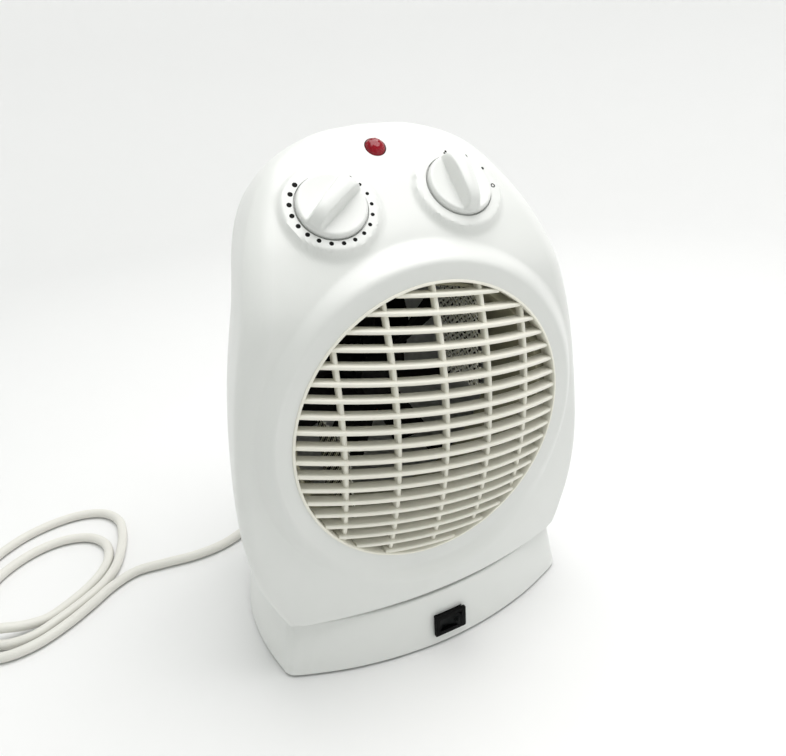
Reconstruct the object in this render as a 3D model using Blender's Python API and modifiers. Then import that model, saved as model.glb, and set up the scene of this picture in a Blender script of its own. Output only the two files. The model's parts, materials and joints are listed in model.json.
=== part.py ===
"""Oscillating fan convector heater as an assembly of separate parts.

Frame: metres, +Z up. The outlet faces -Y. The origin is on the floor under the heater's middle,
and the head swings about the vertical axis through it.
"""
import math

import bmesh
import bpy
from mathutils import Matrix, Vector

# ---------------------------------------------------------------- driving dimensions
HEIGHT = 0.290
WALL = 0.0022                    # moulded wall thickness
GAP = 0.0004                     # clearance between neighbouring pieces

FOOT_H = 0.0048
SKIRT_Z = 0.0015                 # lower edge of the base cover
BASE_TOP = 0.0362
PLATE_TOP = 0.0072               # upper face of the bottom plate
HEAD_Z = 0.0385                  # lower edge of the head, above the dark swivel groove

OUTLET_R = 0.0785                # hole in the front housing
OUTLET_Z = 0.1441
OUTLET_Y = -0.0633               # front plane of the outlet ring
DOME = 0.0165                    # how far the outlet grille bulges
LOUVRE_TURN = math.radians(9.2)  # the louvres run down to the right,
RIB_TURN = math.radians(2.5)     # and the ribs lean a little less
LOUVRES = 19
LOUVRE_PITCH = 0.0081
LOUVRE_DROP = 0.0012             # the middle louvre is this far below the outlet's centre
RIB_X = (-0.0536, -0.0268, 0.0, 0.0268, 0.0536)

KNOB_X = 0.035
KNOB_FACE = Vector((KNOB_X, -0.0352, 0.2596))
KNOB_TILT = math.radians(43.7)   # knob axis above the horizontal
KNOB_TOE = math.radians(3.9)     # and turned outwards
KNOB_R = 0.0172
BOSS_R = 0.0235
LAMP = Vector((0.0, -0.0130, 0.2799))
LAMP_TILT = math.radians(41.0)

DUCT_R = 0.0740
DUCT_Y = (-0.0530, -0.0040)
FAN_Y = (0.0040, 0.0240)
FAN_R = 0.0580
SHAFT_R = 0.0020
STATOR_Y = (0.0380, 0.0540)

PIVOT_R = 0.0090
CRANK_Y = 0.0260                 # drive motor axis behind the swivel axis
CRANK_THROW = 0.0150

CORD_R = 0.00325
COIL_CENTRE = Vector((-0.3170, 0.1050, 0.0))
COIL_R = 0.0360                  # middle of the coil's turns

# Half outline of the head's rim: x, z and how far the rim lies behind the face there.
RIM = (
    (0.0000, 0.2900, 0.0020), (0.0260, 0.2880, 0.0025), (0.0500, 0.2795, 0.0040),
    (0.0660, 0.2655, 0.0075), (0.0790, 0.2440, 0.0100), (0.0880, 0.2180, 0.0100),
    (0.0980, 0.1800, 0.0075), (0.1040, 0.1400, 0.0055), (0.1062, 0.1000, 0.0050),
    (0.1025, 0.0700, 0.0055), (0.0942, 0.0460, 0.0050), (0.0905, HEAD_Z, 0.0040),
)
# Centre line of the face: z, y.
FACE = (
    (HEAD_Z, -0.0692), (0.0700, -0.0673), (0.1400, -0.0648), (0.2000, -0.0643), (0.2200, -0.0612),
    (0.2426, -0.0478), (0.2600, -0.0328), (0.2800, -0.0138), (0.2885, -0.0028), (0.2910, 0.0030),
)
FACE_BOW = 1.04                  # the face curves back by this times x squared
SEAM_BOW = 0.85                  # and by this much more at its lower edge,
SEAM_FADE = 0.025                # fading upwards over this height
# Parting line between the two housings, seen from the side: z, y.
PARTING = ((0.0300, -0.0330), (0.1850, -0.0330), (0.2100, -0.0270), (0.3000, 0.0330))

REAR_Y = 0.0825
TAPER = 2.45                     # the rear shell narrows by this share per metre of depth
REAR_TOP_DROP = 0.30             # and its top sinks by this much per metre

# ---------------------------------------------------------------- scene helpers
for old in list(bpy.data.objects):
    bpy.data.objects.remove(old, do_unlink=True)

PARTS = bpy.data.collections.new("fan_convector_heater")
CUTTERS = bpy.data.collections.new("cutters")
bpy.context.scene.collection.children.link(PARTS)
bpy.context.scene.collection.children.link(CUTTERS)


def material(name, colour, roughness, metallic=0.0):
    made = bpy.data.materials.new(name)
    made.use_nodes = True
    shader = made.node_tree.nodes["Principled BSDF"]
    shader.inputs["Base Color"].default_value = (*colour, 1.0)
    shader.inputs["Roughness"].default_value = roughness
    shader.inputs["Metallic"].default_value = metallic
    return made


WHITE = material("white_plastic", (0.86, 0.87, 0.85), 0.35)
GRILLE_WHITE = material("grille_plastic", (0.88, 0.87, 0.83), 0.38)
BLACK = material("black_plastic", (0.02, 0.02, 0.02), 0.4)
GREY = material("grey_plastic", (0.25, 0.25, 0.26), 0.5)
RUBBER = material("rubber", (0.04, 0.04, 0.04), 0.8)
STEEL = material("steel", (0.62, 0.62, 0.63), 0.3, 1.0)
MICA = material("mica", (0.42, 0.36, 0.24), 0.5)
COPPER = material("copper_winding", (0.55, 0.25, 0.10), 0.35, 1.0)
BRASS = material("brass", (0.75, 0.58, 0.28), 0.3, 1.0)
RED = material("red_lens", (0.45, 0.02, 0.03), 0.15)
CORD_WHITE = material("cord_white", (0.80, 0.80, 0.76), 0.5)


def add_object(name, mesh, mat, collection=None):
    made = bpy.data.objects.new(name, mesh)
    (collection or PARTS).objects.link(made)
    if mat:
        mesh.materials.append(mat)
    return made


def from_bmesh(name, bm, mat):
    bmesh.ops.recalc_face_normals(bm, faces=bm.faces)
    mesh = bpy.data.meshes.new(name)
    bm.to_mesh(mesh)
    bm.free()
    mesh.shade_smooth()
    mesh.set_sharp_from_angle(angle=math.radians(35))
    return add_object(name, mesh, mat)


def add_cubes(bm, boxes):
    for low, high in boxes:
        low, high = Vector(low), Vector(high)
        size = high - low
        bmesh.ops.create_cube(bm, size=1.0, matrix=Matrix.Translation((low + high) / 2)
                              @ Matrix.Diagonal((*size, 1.0)))


def boxes(name, corner_pairs, mat):
    bm = bmesh.new()
    add_cubes(bm, corner_pairs)
    return from_bmesh(name, bm, mat)


def box(name, low, high, mat):
    return boxes(name, [(low, high)], mat)


def along(start, end):
    """Frame at the middle of a segment, with local Z along it."""
    start, end = Vector(start), Vector(end)
    turn = (end - start).to_track_quat("Z", "Y").to_matrix().to_4x4()
    return Matrix.Translation((start + end) / 2) @ turn, (end - start).length


def rods(name, ends, radius, mat, segments=32, tip=None):
    bm = bmesh.new()
    for start, end in ends:
        place, length = along(start, end)
        bmesh.ops.create_cone(bm, cap_ends=True, segments=segments, radius1=radius,
                              radius2=radius if tip is None else tip, depth=length, matrix=place)
    return from_bmesh(name, bm, mat)


def rod(name, start, end, radius, mat, segments=32, tip=None):
    return rods(name, [(start, end)], radius, mat, segments, tip)


def turned(name, profile, place, mat, steps=40, ring=False):
    """Solid of revolution about local Z. The (radius, z) profile runs down its outer side."""
    mesh = bpy.data.meshes.new(name)
    count = len(profile)
    edges = [(i, i + 1) for i in range(count - 1)] + ([(count - 1, 0)] if ring else [])
    mesh.from_pydata([(r, 0.0, z) for r, z in profile], edges, [])
    made = add_object(name, mesh, mat)
    screw = made.modifiers.new("turn", "SCREW")
    screw.steps = steps
    screw.render_steps = steps
    screw.use_merge_vertices = True
    screw.merge_threshold = 0.00001
    made.matrix_world = place
    return made


def boolean(target, tool, operation):
    CUTTERS.objects.link(tool)
    PARTS.objects.unlink(tool)
    tool.hide_render = True
    tool.display_type = "WIRE"
    step = target.modifiers.new(f"{operation.lower()}_{tool.name}", "BOOLEAN")
    step.operation = operation
    step.solver = "EXACT"
    step.object = tool
    return target


def cut(target, *tools):
    for tool in tools:
        boolean(target, tool, "DIFFERENCE")
    return target


def fuse(target, *tools):
    for tool in tools:
        boolean(target, tool, "UNION")
    return target


def rounded(target, width, segments=2):
    step = target.modifiers.new("edges", "BEVEL")
    step.width = width
    step.segments = segments
    step.limit_method = "ANGLE"
    step.angle_limit = math.radians(40)
    return target


def smooth_curve(points, per_span):
    """Catmull-Rom curve through the points."""
    points = [Vector(p) for p in points]
    padded = [2 * points[0] - points[1], *points, 2 * points[-1] - points[-2]]
    out = []
    for a, b, c, d in zip(padded, padded[1:], padded[2:], padded[3:]):
        for i in range(per_span):
            t = i / per_span
            out.append(0.5 * (2 * b + (c - a) * t + (2 * a - 5 * b + 4 * c - d) * t ** 2
                              + (3 * b - a - 3 * c + d) * t ** 3))
    return [*out, points[-1]]


def tube(name, points, radius, mat, resolution=2):
    curve = bpy.data.curves.new(name, "CURVE")
    curve.dimensions = "3D"
    curve.bevel_depth = radius
    curve.bevel_resolution = resolution
    curve.use_fill_caps = True
    spline = curve.splines.new("POLY")
    spline.points.add(len(points) - 1)
    for place, point in zip(spline.points, points):
        place.co = (*point, 1.0)
    curve.materials.append(mat)
    made = bpy.data.objects.new(name, curve)
    PARTS.objects.link(made)
    return made


def axis_frame(origin, direction):
    """Frame at origin with local Z along direction and local Y towards the world's up."""
    z = Vector(direction).normalized()
    x = Vector((0.0, 0.0, 1.0)).cross(z)
    x = x.normalized() if x.length > 1e-6 else Vector((1.0, 0.0, 0.0))
    return Matrix.Translation(origin) @ Matrix((x, z.cross(x), z)).transposed().to_4x4()


def interpolate(table, at):
    """Smooth value read from (at, value) stations in rising order."""
    at = min(max(at, table[0][0]), table[-1][0])
    last = len(table) - 1
    i = next(k for k in range(last) if at <= table[k + 1][0])
    (x0, y0), (x1, y1) = table[i], table[i + 1]
    before = table[max(i - 1, 0)]
    after = table[min(i + 2, last)]
    m0 = (y1 - before[1]) / (x1 - before[0])
    m1 = (after[1] - y0) / (after[0] - x0)
    h = x1 - x0
    t = (at - x0) / h
    return ((2 * t ** 3 - 3 * t ** 2 + 1) * y0 + (t ** 3 - 2 * t ** 2 + t) * h * m0
            + (3 * t ** 2 - 2 * t ** 3) * y1 + (t ** 3 - t ** 2) * h * m1)


# ---------------------------------------------------------------- head shells
def face_y(x, z):
    bow = FACE_BOW + SEAM_BOW * math.exp((HEAD_Z - z) / SEAM_FADE)
    return interpolate(FACE, z) + bow * x * x


def rim_points(inset):
    """Closed rim outline as (x, z, depth), drawn in by inset: top, sides, then the bottom."""
    side = smooth_curve(RIM[:-1], 2)[:-1] + [Vector(RIM[-2]), Vector(RIM[-1])]
    count = 6
    bottom = [Vector((RIM[-1][0] * (1 - i / count), HEAD_Z, 0.0015)) for i in range(1, count)]
    half = [*side, *bottom]
    middle = Vector((0.0, HEAD_Z, 0.0015))
    loop = [*half, middle, *[Vector((-p.x, p.y, p.z)) for p in reversed(half[1:])]]
    out = []
    for i, p in enumerate(loop):
        before, after = loop[i - 1], loop[(i + 1) % len(loop)]
        inward = Vector((after.y - before.y, before.x - after.x)).normalized() * inset
        if p.y <= HEAD_Z:
            reach = p.x - math.copysign(min(inset, abs(p.x)), p.x) if abs(p.x) > 0.08 else p.x
            out.append(Vector((reach, HEAD_Z + inset, p.z)))
        else:
            out.append(Vector((p.x + inward.x, max(p.y + inward.y, HEAD_Z + inset * 1.5), p.z)))
    return out


def shrink(x, z, back):
    """Where a rim point goes when the shell has run back by this depth."""
    top = HEIGHT - HEAD_Z
    return x * (1 - TAPER * back), HEAD_Z + (z - HEAD_Z) * (1 - REAR_TOP_DROP * back / top)


FILLET_WIDTH = 1.15              # the rim's rounding is this much wider than it is deep
REAR_RADIUS = 0.022


def head_rings(inset):
    """Rings of the head's surface, from the outlet over the rim to the middle of the back."""
    rim = [Vector((p.x, p.y)) for p in rim_points(inset)]
    depth = [p.z for p in rim_points(inset)]
    centre = Vector((0.0, OUTLET_Z))
    hole = [centre + (p - centre).normalized() * OUTLET_R for p in rim]

    def face_point(q, extra=0.0):
        slope = (face_y(q.x, q.y + 0.001) - face_y(q.x, q.y - 0.001)) / 0.002
        return Vector((q.x, face_y(q.x, q.y) + inset * math.hypot(1, slope) + extra, q.y))

    inner = [e - (e - h).normalized() * d * FILLET_WIDTH for e, h, d in zip(rim, hole, depth)]
    rings = [[face_point(h.lerp(i, share)) for h, i in zip(hole, inner)]
             for share in (0.0, 0.35, 0.7, 1.0)]
    for turn in (30, 60, 90):
        a = math.radians(turn)
        rings.append([face_point(i.lerp(e, math.sin(a)), d * (1 - math.cos(a)))
                      for i, e, d in zip(inner, rim, depth)])
    rim_ring = rings[-1]
    wall_end = REAR_Y - REAR_RADIUS - inset
    for share in (0.12, 0.5, 1.0):
        ring = []
        for e, r in zip(rim, rim_ring):
            run = (wall_end - r.y) * share
            x, z = shrink(e.x, e.y, run * share ** 0.35)
            ring.append(Vector((x, r.y + run, z)))
        rings.append(ring)
    wall_ring = rings[-1]
    for turn in (30, 60, 90):
        a = math.radians(turn)
        ring = []
        for w in wall_ring:
            out = Vector((w.x, 0.0, w.z - OUTLET_Z))
            run = REAR_RADIUS * (1 - math.cos(a)) / out.length
            ring.append(Vector((w.x, wall_end + REAR_RADIUS * math.sin(a), w.z)) - out * run)
        rings.append(ring)
    return rings


def head_solid(name, inset):
    """The head's outer form, or the hollow inside it when drawn in by the wall."""
    rings = head_rings(inset)
    bm = bmesh.new()
    rows = [[bm.verts.new(v) for v in ring] for ring in rings]
    count = len(rows[0])
    for a, b in zip(rows, rows[1:]):
        for j in range(count):
            k = (j + 1) % count
            bm.faces.new((a[j], a[k], b[k], b[j]))
    bm.faces.new(rows[0])
    bm.faces.new(rows[-1])
    return from_bmesh(name, bm, WHITE)


def parting_block(name, front):
    """Everything in front of the parting line, or behind it, and half a gap beyond the line."""
    reach = 0.2
    far = -reach if front else reach
    shift = GAP / 2 if front else -GAP / 2
    line = [(z, y + shift) for z, y in PARTING]
    outline = [*line, (line[-1][0], far), (line[0][0], far)]
    bm = bmesh.new()
    left = [bm.verts.new((-reach, y, z)) for z, y in outline]
    face = bm.faces.new(left)
    side = bmesh.ops.extrude_face_region(bm, geom=[face])
    moved = [v for v in side["geom"] if isinstance(v, bmesh.types.BMVert)]
    bmesh.ops.translate(bm, verts=moved, vec=(2 * reach, 0.0, 0.0))
    return from_bmesh(name, bm, WHITE)


def knob_frame(side):
    face = Vector((side * KNOB_FACE.x, KNOB_FACE.y, KNOB_FACE.z))
    flat = math.cos(KNOB_TILT)
    axis = Vector((side * math.sin(KNOB_TOE) * flat, -math.cos(KNOB_TOE) * flat, math.sin(KNOB_TILT)))
    return axis_frame(face, axis)


def lamp_frame():
    return axis_frame(LAMP, (0.0, -math.cos(LAMP_TILT), math.sin(LAMP_TILT)))


def front_housing():
    shell = head_solid("front_housing", 0.0)
    cut(shell, head_solid("front_hollow", WALL))
    cut(shell, parting_block("behind_parting", front=False))
    cut(shell, rod("outlet_hole", (0, -0.10, OUTLET_Z), (0, -0.04, OUTLET_Z), OUTLET_R, WHITE, 64))
    for side, word in ((-1, "left"), (1, "right")):
        place = knob_frame(side)
        skirt = [(0.0, 0.0), (BOSS_R - 0.001, 0.0), (BOSS_R, -0.0008), (BOSS_R + 0.0035, -0.0070),
                 (0.0, -0.0070)]
        fuse(shell, turned(f"boss_{word}", skirt, place, WHITE, 36))
        well_r = KNOB_R + 0.0006
        well = [(0.0, 0.0151), (well_r, 0.0151), (well_r, -0.0016), (0.0045, -0.0016),
                (0.0045, -0.0210), (0.0, -0.0210)]
        cut(shell, turned(f"well_{word}", well, place, WHITE, 32))
    hole = [(0.0, 0.02), (0.0066, 0.02), (0.0066, -0.02), (0.0, -0.02)]
    cut(shell, turned("lamp_hole", hole, lamp_frame(), WHITE, 24))
    return shell


def rear_housing():
    shell = head_solid("rear_housing", 0.0)
    cut(shell, head_solid("rear_hollow", WALL))
    cut(shell, parting_block("before_parting", front=True))
    slots = []
    for row in range(10):
        z = OUTLET_Z + 0.0100 * (row - 4.5)
        half = math.sqrt(0.052 ** 2 - (z - OUTLET_Z) ** 2 * 0.6)
        for low, high in ((-half, -0.003), (0.003, half)):
            slots.append(((low, REAR_Y - 0.02, z - 0.0025), (high, REAR_Y + 0.02, z + 0.0025)))
    cut(shell, boxes("intake_slots", slots, WHITE))
    cut(shell, rod("swivel_hole", (0, 0, 0.03), (0, 0, 0.043), 0.0200, WHITE))
    for word, x, z in SCREW_PLACES:
        cut(shell, rod(f"screw_well_{word}", (x, 0.0700, z), (x, 0.10, z), 0.0042, WHITE, 20))
    return shell


SCREW_PLACES = (("left_low", -0.046, 0.075), ("right_low", 0.046, 0.075),
                ("left_high", -0.042, 0.205), ("right_high", 0.042, 0.205))


def housing_screws():
    """Screw heads sit in the wells in the back of the rear housing."""
    for word, x, z in SCREW_PLACES:
        head = rod(f"housing_screw_{word}", (x, 0.0780, z), (x, 0.0806, z), 0.0036, STEEL, 20)
        fuse(head, rod(f"shank_{word}", (x, 0.0550, z), (x, 0.0790, z), 0.0015, STEEL, 12))
        drive = [((x - 0.0020, 0.0795, z - 0.0004), (x + 0.0020, 0.0820, z + 0.0004))]
        cut(head, boxes(f"drive_{word}", drive, STEEL))
        cut(head, boxes(f"cross_{word}", [((x - 0.0004, 0.0795, z - 0.0020),
                                           (x + 0.0004, 0.0820, z + 0.0020))], STEEL))


# ---------------------------------------------------------------- outlet grille
GRILLE_R = OUTLET_R - 0.0005
LOUVRE_HALF, LOUVRE_DEPTH = 0.00115, 0.0078
RIB_HALF, RIB_DEPTH, RIB_SETBACK = 0.00120, 0.0048, 0.0022


def dome_y(x, z):
    reach = (x * x + (z - OUTLET_Z) ** 2) / GRILLE_R ** 2
    return OUTLET_Y - DOME * max(0.0, 1 - reach)


def slat(bm, path, thick_axis, half_thick, depth):
    """A strip that follows the path and runs back from it by depth."""
    rows = []
    for p in path:
        offset = thick_axis * half_thick
        back = Vector((0.0, depth, 0.0))
        rows.append([bm.verts.new(q) for q in (p - offset, p + offset, p + offset + back,
                                               p - offset + back)])
    for a, b in zip(rows, rows[1:]):
        for i in range(4):
            bm.faces.new((a[i], a[(i + 1) % 4], b[(i + 1) % 4], b[i]))
    bm.faces.new(rows[0])
    bm.faces.new(rows[-1])


def outlet_grille():
    inner = GRILLE_R - 0.0020
    ring = [(GRILLE_R, 0.0012), (GRILLE_R, -0.0080), (inner, -0.0080), (inner, 0.0012)]
    place = axis_frame((0.0, OUTLET_Y, OUTLET_Z), (0.0, -1.0, 0.0))
    grille = turned("outlet_grille", ring, place, GRILLE_WHITE, 64, ring=True)
    centre = Matrix.Translation((0.0, 0.0, OUTLET_Z))
    reach = GRILLE_R - 0.0012
    up, side = Vector((0.0, 0.0, 1.0)), Vector((1.0, 0.0, 0.0))
    bm = bmesh.new()
    for i in range(LOUVRES):
        z = OUTLET_Z - LOUVRE_DROP + (i - (LOUVRES - 1) / 2) * LOUVRE_PITCH
        half = math.sqrt(reach ** 2 - (z - OUTLET_Z) ** 2)
        spans = max(4, round(half / 0.013))
        xs = [half * (2 * k / spans - 1) for k in range(spans + 1)]
        slat(bm, [Vector((x, dome_y(x, z), z)) for x in xs], up, LOUVRE_HALF, LOUVRE_DEPTH)
    bm.transform(centre @ Matrix.Rotation(LOUVRE_TURN, 4, "Y") @ centre.inverted())
    fuse(grille, from_bmesh("louvres", bm, GRILLE_WHITE))
    bm = bmesh.new()
    for x in RIB_X:
        half = math.sqrt(reach ** 2 - x ** 2)
        spans = 9
        zs = [OUTLET_Z + half * (2 * k / spans - 1) for k in range(spans + 1)]
        slat(bm, [Vector((x, dome_y(x, z) + RIB_SETBACK, z)) for z in zs], side, RIB_HALF, RIB_DEPTH)
    bm.transform(centre @ Matrix.Rotation(RIB_TURN, 4, "Y") @ centre.inverted())
    fuse(grille, from_bmesh("ribs", bm, GRILLE_WHITE))
    return grille


# ---------------------------------------------------------------- heating element
BOARDS = (("right", 0.0380, 0.1480, 0.2040), ("left", -0.0450, 0.0920, 0.1370))


def heater():
    wall = 0.0008
    front, back = -DUCT_Y[0], -DUCT_Y[1]
    profile = [(DUCT_R, front), (DUCT_R, back), (DUCT_R - wall, back), (DUCT_R - wall, front)]
    turned("element_duct", profile, axis_frame((0, 0, OUTLET_Z), (0, -1, 0)), MICA, 40, ring=True)
    y0, y1 = DUCT_Y[0] + 0.003, DUCT_Y[1] - 0.003
    for word, x, low, high in BOARDS:
        box(f"mica_board_{word}", (x - 0.0004, y0, low), (x + 0.0004, y1, high), MICA)
        rows = round((high - low) / 0.0062)
        inward = -1 if x > 0 else 1
        points = []
        for i in range(rows):
            z = low + 0.003 + i * (high - low - 0.006) / (rows - 1)
            ends = (y0 + 0.004, y1 - 0.004) if i % 2 == 0 else (y1 - 0.004, y0 + 0.004)
            points += [Vector((x + inward * 0.0018, y, z)) for y in ends]
        tube(f"heating_wire_{word}", points, 0.0009, STEEL)
    y = DUCT_Y[1] - 0.012
    cutout = rod("thermal_cutout", (0.030, y, 0.0960), (0.030, y, 0.1010), 0.0065, BLACK, 24)
    fuse(cutout, boxes("cutout_tabs", [((0.0210, y - 0.003, 0.0980), (0.0250, y + 0.003, 0.0988)),
                                       ((0.0350, y - 0.003, 0.0980), (0.0390, y + 0.003, 0.0988))],
                       STEEL))


# ---------------------------------------------------------------- fan and its motor
BLADES = 7


def fan():
    hub_r = 0.0150
    profile = [(0.0, -FAN_Y[0]), (hub_r - 0.003, -FAN_Y[0]), (hub_r, -FAN_Y[0] - 0.003),
               (hub_r, -FAN_Y[1]), (0.0, -FAN_Y[1])]
    place = axis_frame((0, 0, OUTLET_Z), (0, -1, 0))
    hub = turned("fan_impeller", profile, place, GREY, 32)
    middle = Vector((0.0, (FAN_Y[0] + FAN_Y[1]) / 2, OUTLET_Z))
    for k in range(BLADES):
        bm = bmesh.new()
        columns, rows = 4, 3
        span = [hub_r - 0.003 + (FAN_R - hub_r + 0.003) * i / columns for i in range(columns + 1)]
        sheets = []
        for side in (-0.0006, 0.0006):
            sheet = []
            for r in span:
                twist = math.radians(48 - 20 * (r - hub_r) / (FAN_R - hub_r))
                chord = 0.020 + 0.12 * (r - hub_r)
                line = []
                for j in range(rows + 1):
                    t = j / rows - 0.5
                    across = chord * t * math.cos(twist)
                    back = min(max(chord * t * math.sin(twist), -0.009), 0.009) + side
                    line.append(bm.verts.new((across, back, r)))
                sheet.append(line)
            sheets.append(sheet)
        for sheet in sheets:
            for a, b in zip(sheet, sheet[1:]):
                for j in range(rows):
                    bm.faces.new((a[j], a[j + 1], b[j + 1], b[j]))
        near, far = sheets
        edge = ([(i, 0) for i in range(columns)] + [(columns, j) for j in range(rows)]
                + [(i, rows) for i in range(columns, 0, -1)] + [(0, j) for j in range(rows, 0, -1)])
        for (a, b), (c, d) in zip(edge, edge[1:] + edge[:1]):
            bm.faces.new((near[a][b], near[c][d], far[c][d], far[a][b]))
        turn = Matrix.Rotation(2 * math.pi * k / BLADES, 4, "Y")
        bmesh.ops.transform(bm, matrix=Matrix.Translation(middle) @ turn, verts=bm.verts)
        fuse(hub, from_bmesh(f"blade_{k}", bm, GREY))
    shaft = rod("motor_shaft", (0, FAN_Y[1] + 0.0004, OUTLET_Z), (0, 0.0620, OUTLET_Z), SHAFT_R,
                STEEL, 20)
    fuse(shaft, rod("rotor", (0, STATOR_Y[0], OUTLET_Z), (0, STATOR_Y[1], OUTLET_Z), 0.0110,
                    STEEL, 28))


def motor():
    y0, y1 = STATOR_Y
    low, high = OUTLET_Z - 0.036, OUTLET_Z + 0.020
    stator = box("motor_stator", (-0.026, y0, low), (0.026, y1, high), STEEL)
    cut(stator, rod("stator_bore", (0, y0 - 0.01, OUTLET_Z), (0, y1 + 0.01, OUTLET_Z), 0.0118,
                    STEEL, 28))
    cut(stator, box("stator_window", (-0.0180, y0 - 0.01, low + 0.0085),
                    (0.0180, y1 + 0.01, low + 0.0210), STEEL))
    coil = box("motor_coil", (-0.0145, y0 - 0.0075, low - 0.0075), (0.0145, y1 + 0.0075, low + 0.0180),
               COPPER)
    cut(coil, box("coil_window", (-0.02, y0 - GAP, low - GAP), (0.02, y1 + GAP, low + 0.0085 + GAP),
                  COPPER))
    for word, at in (("front", y0 - 0.0100), ("rear", y1 + 0.0044)):
        plate = box(f"motor_bracket_{word}", (-0.030, at, OUTLET_Z - 0.0085),
                    (0.030, at + 0.0015, OUTLET_Z + 0.0085), STEEL)
        fuse(plate, rod(f"bearing_{word}", (0, at, OUTLET_Z), (0, at + 0.0030, OUTLET_Z), 0.0055,
                        BRASS, 24))
        cut(plate, rod(f"bearing_bore_{word}", (0, at - 0.01, OUTLET_Z), (0, at + 0.01, OUTLET_Z),
                       SHAFT_R + 0.0001, BRASS, 20))


# ---------------------------------------------------------------- controls on the head
def knob(name, side, pointer):
    """Dished knob with a raised grip bar and a spindle that drops into the switch behind it."""
    place = knob_frame(side)
    profile = [(0.0, 0.0044), (KNOB_R - 0.0040, 0.0044), (KNOB_R - 0.0010, 0.0036),
               (KNOB_R, 0.0026), (KNOB_R, -0.0010), (0.0, -0.0010)]
    body = turned(name, profile, place, WHITE, 36)
    grip = bpy.data.meshes.new(f"{name}_grip")
    bm = bmesh.new()
    add_cubes(bm, [((-0.0048, -KNOB_R + 0.0010, 0.0020), (0.0048, KNOB_R - 0.0010, 0.0125))])
    for v in bm.verts:
        if v.co.z > 0.01:
            v.co.x *= 0.62
            v.co.y *= 0.90
    bmesh.ops.recalc_face_normals(bm, faces=bm.faces)
    bm.to_mesh(grip)
    bm.free()
    bar = add_object(f"{name}_grip", grip, WHITE)
    bar.matrix_world = place @ Matrix.Rotation(-pointer, 4, "Z")
    rounded(bar, 0.0012)
    fuse(body, bar)
    stem = [(0.0, 0.0), (0.0030, 0.0), (0.0030, -0.0160), (0.0, -0.0160)]
    fuse(body, turned(f"{name}_stem", stem, place, WHITE, 24))
    return body


def placed_boxes(name, corner_pairs, place, mat):
    made = boxes(name, corner_pairs, mat)
    made.data.transform(place)
    return made


def control(name, side, width, depth):
    """Switch block behind the panel, with the well that a knob's spindle turns in."""
    place = knob_frame(side)
    half = width / 2
    back = -0.0100 - depth
    body = placed_boxes(name, [((-half, -half, back), (half, half, -0.0100))], place, GREY)
    neck = half * 0.7
    fuse(body, placed_boxes(f"{name}_neck", [((-neck, -neck, -0.0120), (neck, neck, -0.0090))], place,
                            GREY))
    tabs = [((x * width - 0.0016, -0.0004, back - 0.0070), (x * width + 0.0016, 0.0004, back + 0.0010))
            for x in (-0.3, 0.0, 0.3)]
    fuse(body, placed_boxes(f"{name}_tabs", tabs, place, BRASS))
    well = [(0.0, 0.0), (0.0033, 0.0), (0.0033, -0.0165), (0.0, -0.0165)]
    return cut(body, turned(f"{name}_well", well, place, GREY, 24))


def controls():
    knob("thermostat_knob", -1, math.radians(50))
    knob("selector_knob", 1, math.radians(5))
    control("thermostat", -1, 0.0200, 0.0100)
    control("selector_switch", 1, 0.0240, 0.0120)
    place = lamp_frame()
    lens = [(0.0, 0.0040), (0.0025, 0.0036), (0.0048, 0.0022), (0.0058, 0.0008), (0.0058, -0.0060),
            (0.0, -0.0060)]
    turned("lamp_lens", lens, place, RED, 24)
    holder = [(0.0050, -0.0065), (0.0050, -0.0180), (0.0, -0.0180), (0.0, -0.0065)]
    turned("lamp_holder", [(0.0, -0.0064), *holder[:3]], place, BLACK, 24)


# ---------------------------------------------------------------- base
BASE_HALF = ((0.0000, -0.0730), (0.0300, -0.0708), (0.0600, -0.0645), (0.0850, -0.0556),
             (0.0930, -0.0520), (0.0955, -0.0490), (0.0968, -0.0440), (0.0995, -0.0250),
             (0.1000, -0.0050), (0.0980, 0.0150), (0.0910, 0.0380), (0.0780, 0.0570),
             (0.0580, 0.0700), (0.0300, 0.0770), (0.0000, 0.0790))
BASE_DRAFT = 0.94                # the top outline over the floor outline


def base_outline(inset, z=0.0):
    """Closed plan outline at a height, drawn in by inset; it narrows upwards by the draft."""
    scale = 1 - (1 - BASE_DRAFT) * z / BASE_TOP
    half = [Vector(p) for p in BASE_HALF]
    loop = [*half, *[Vector((-p.x, p.y)) for p in reversed(half[1:-1])]]
    out = []
    for i, p in enumerate(loop):
        run = loop[(i + 1) % len(loop)] - loop[i - 1]
        normal = Vector((run.y, -run.x)).normalized()
        out.append(p * scale - normal * inset)
    return out


def plan_solid(name, levels, mat):
    """Closed solid through plan outlines given as (z, points), bottom first."""
    bm = bmesh.new()
    rings = [[bm.verts.new((p.x, p.y, z)) for p in points] for z, points in levels]
    for a, b in zip(rings, rings[1:]):
        count = len(a)
        for i in range(count):
            k = (i + 1) % count
            bm.faces.new((a[i], a[k], b[k], b[i]))
    bm.faces.new(rings[0])
    bm.faces.new(rings[-1])
    return from_bmesh(name, bm, mat)


ROCKER = Vector((0.0, -0.0722, 0.0152))
ROCKER_SIZE = (0.0210, 0.0150)
STRAIN_EXIT = Vector((0.0240, 0.0762, 0.0145))
STRAIN_AIM = Vector((-0.12, 0.985, -0.12)).normalized()


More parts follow.
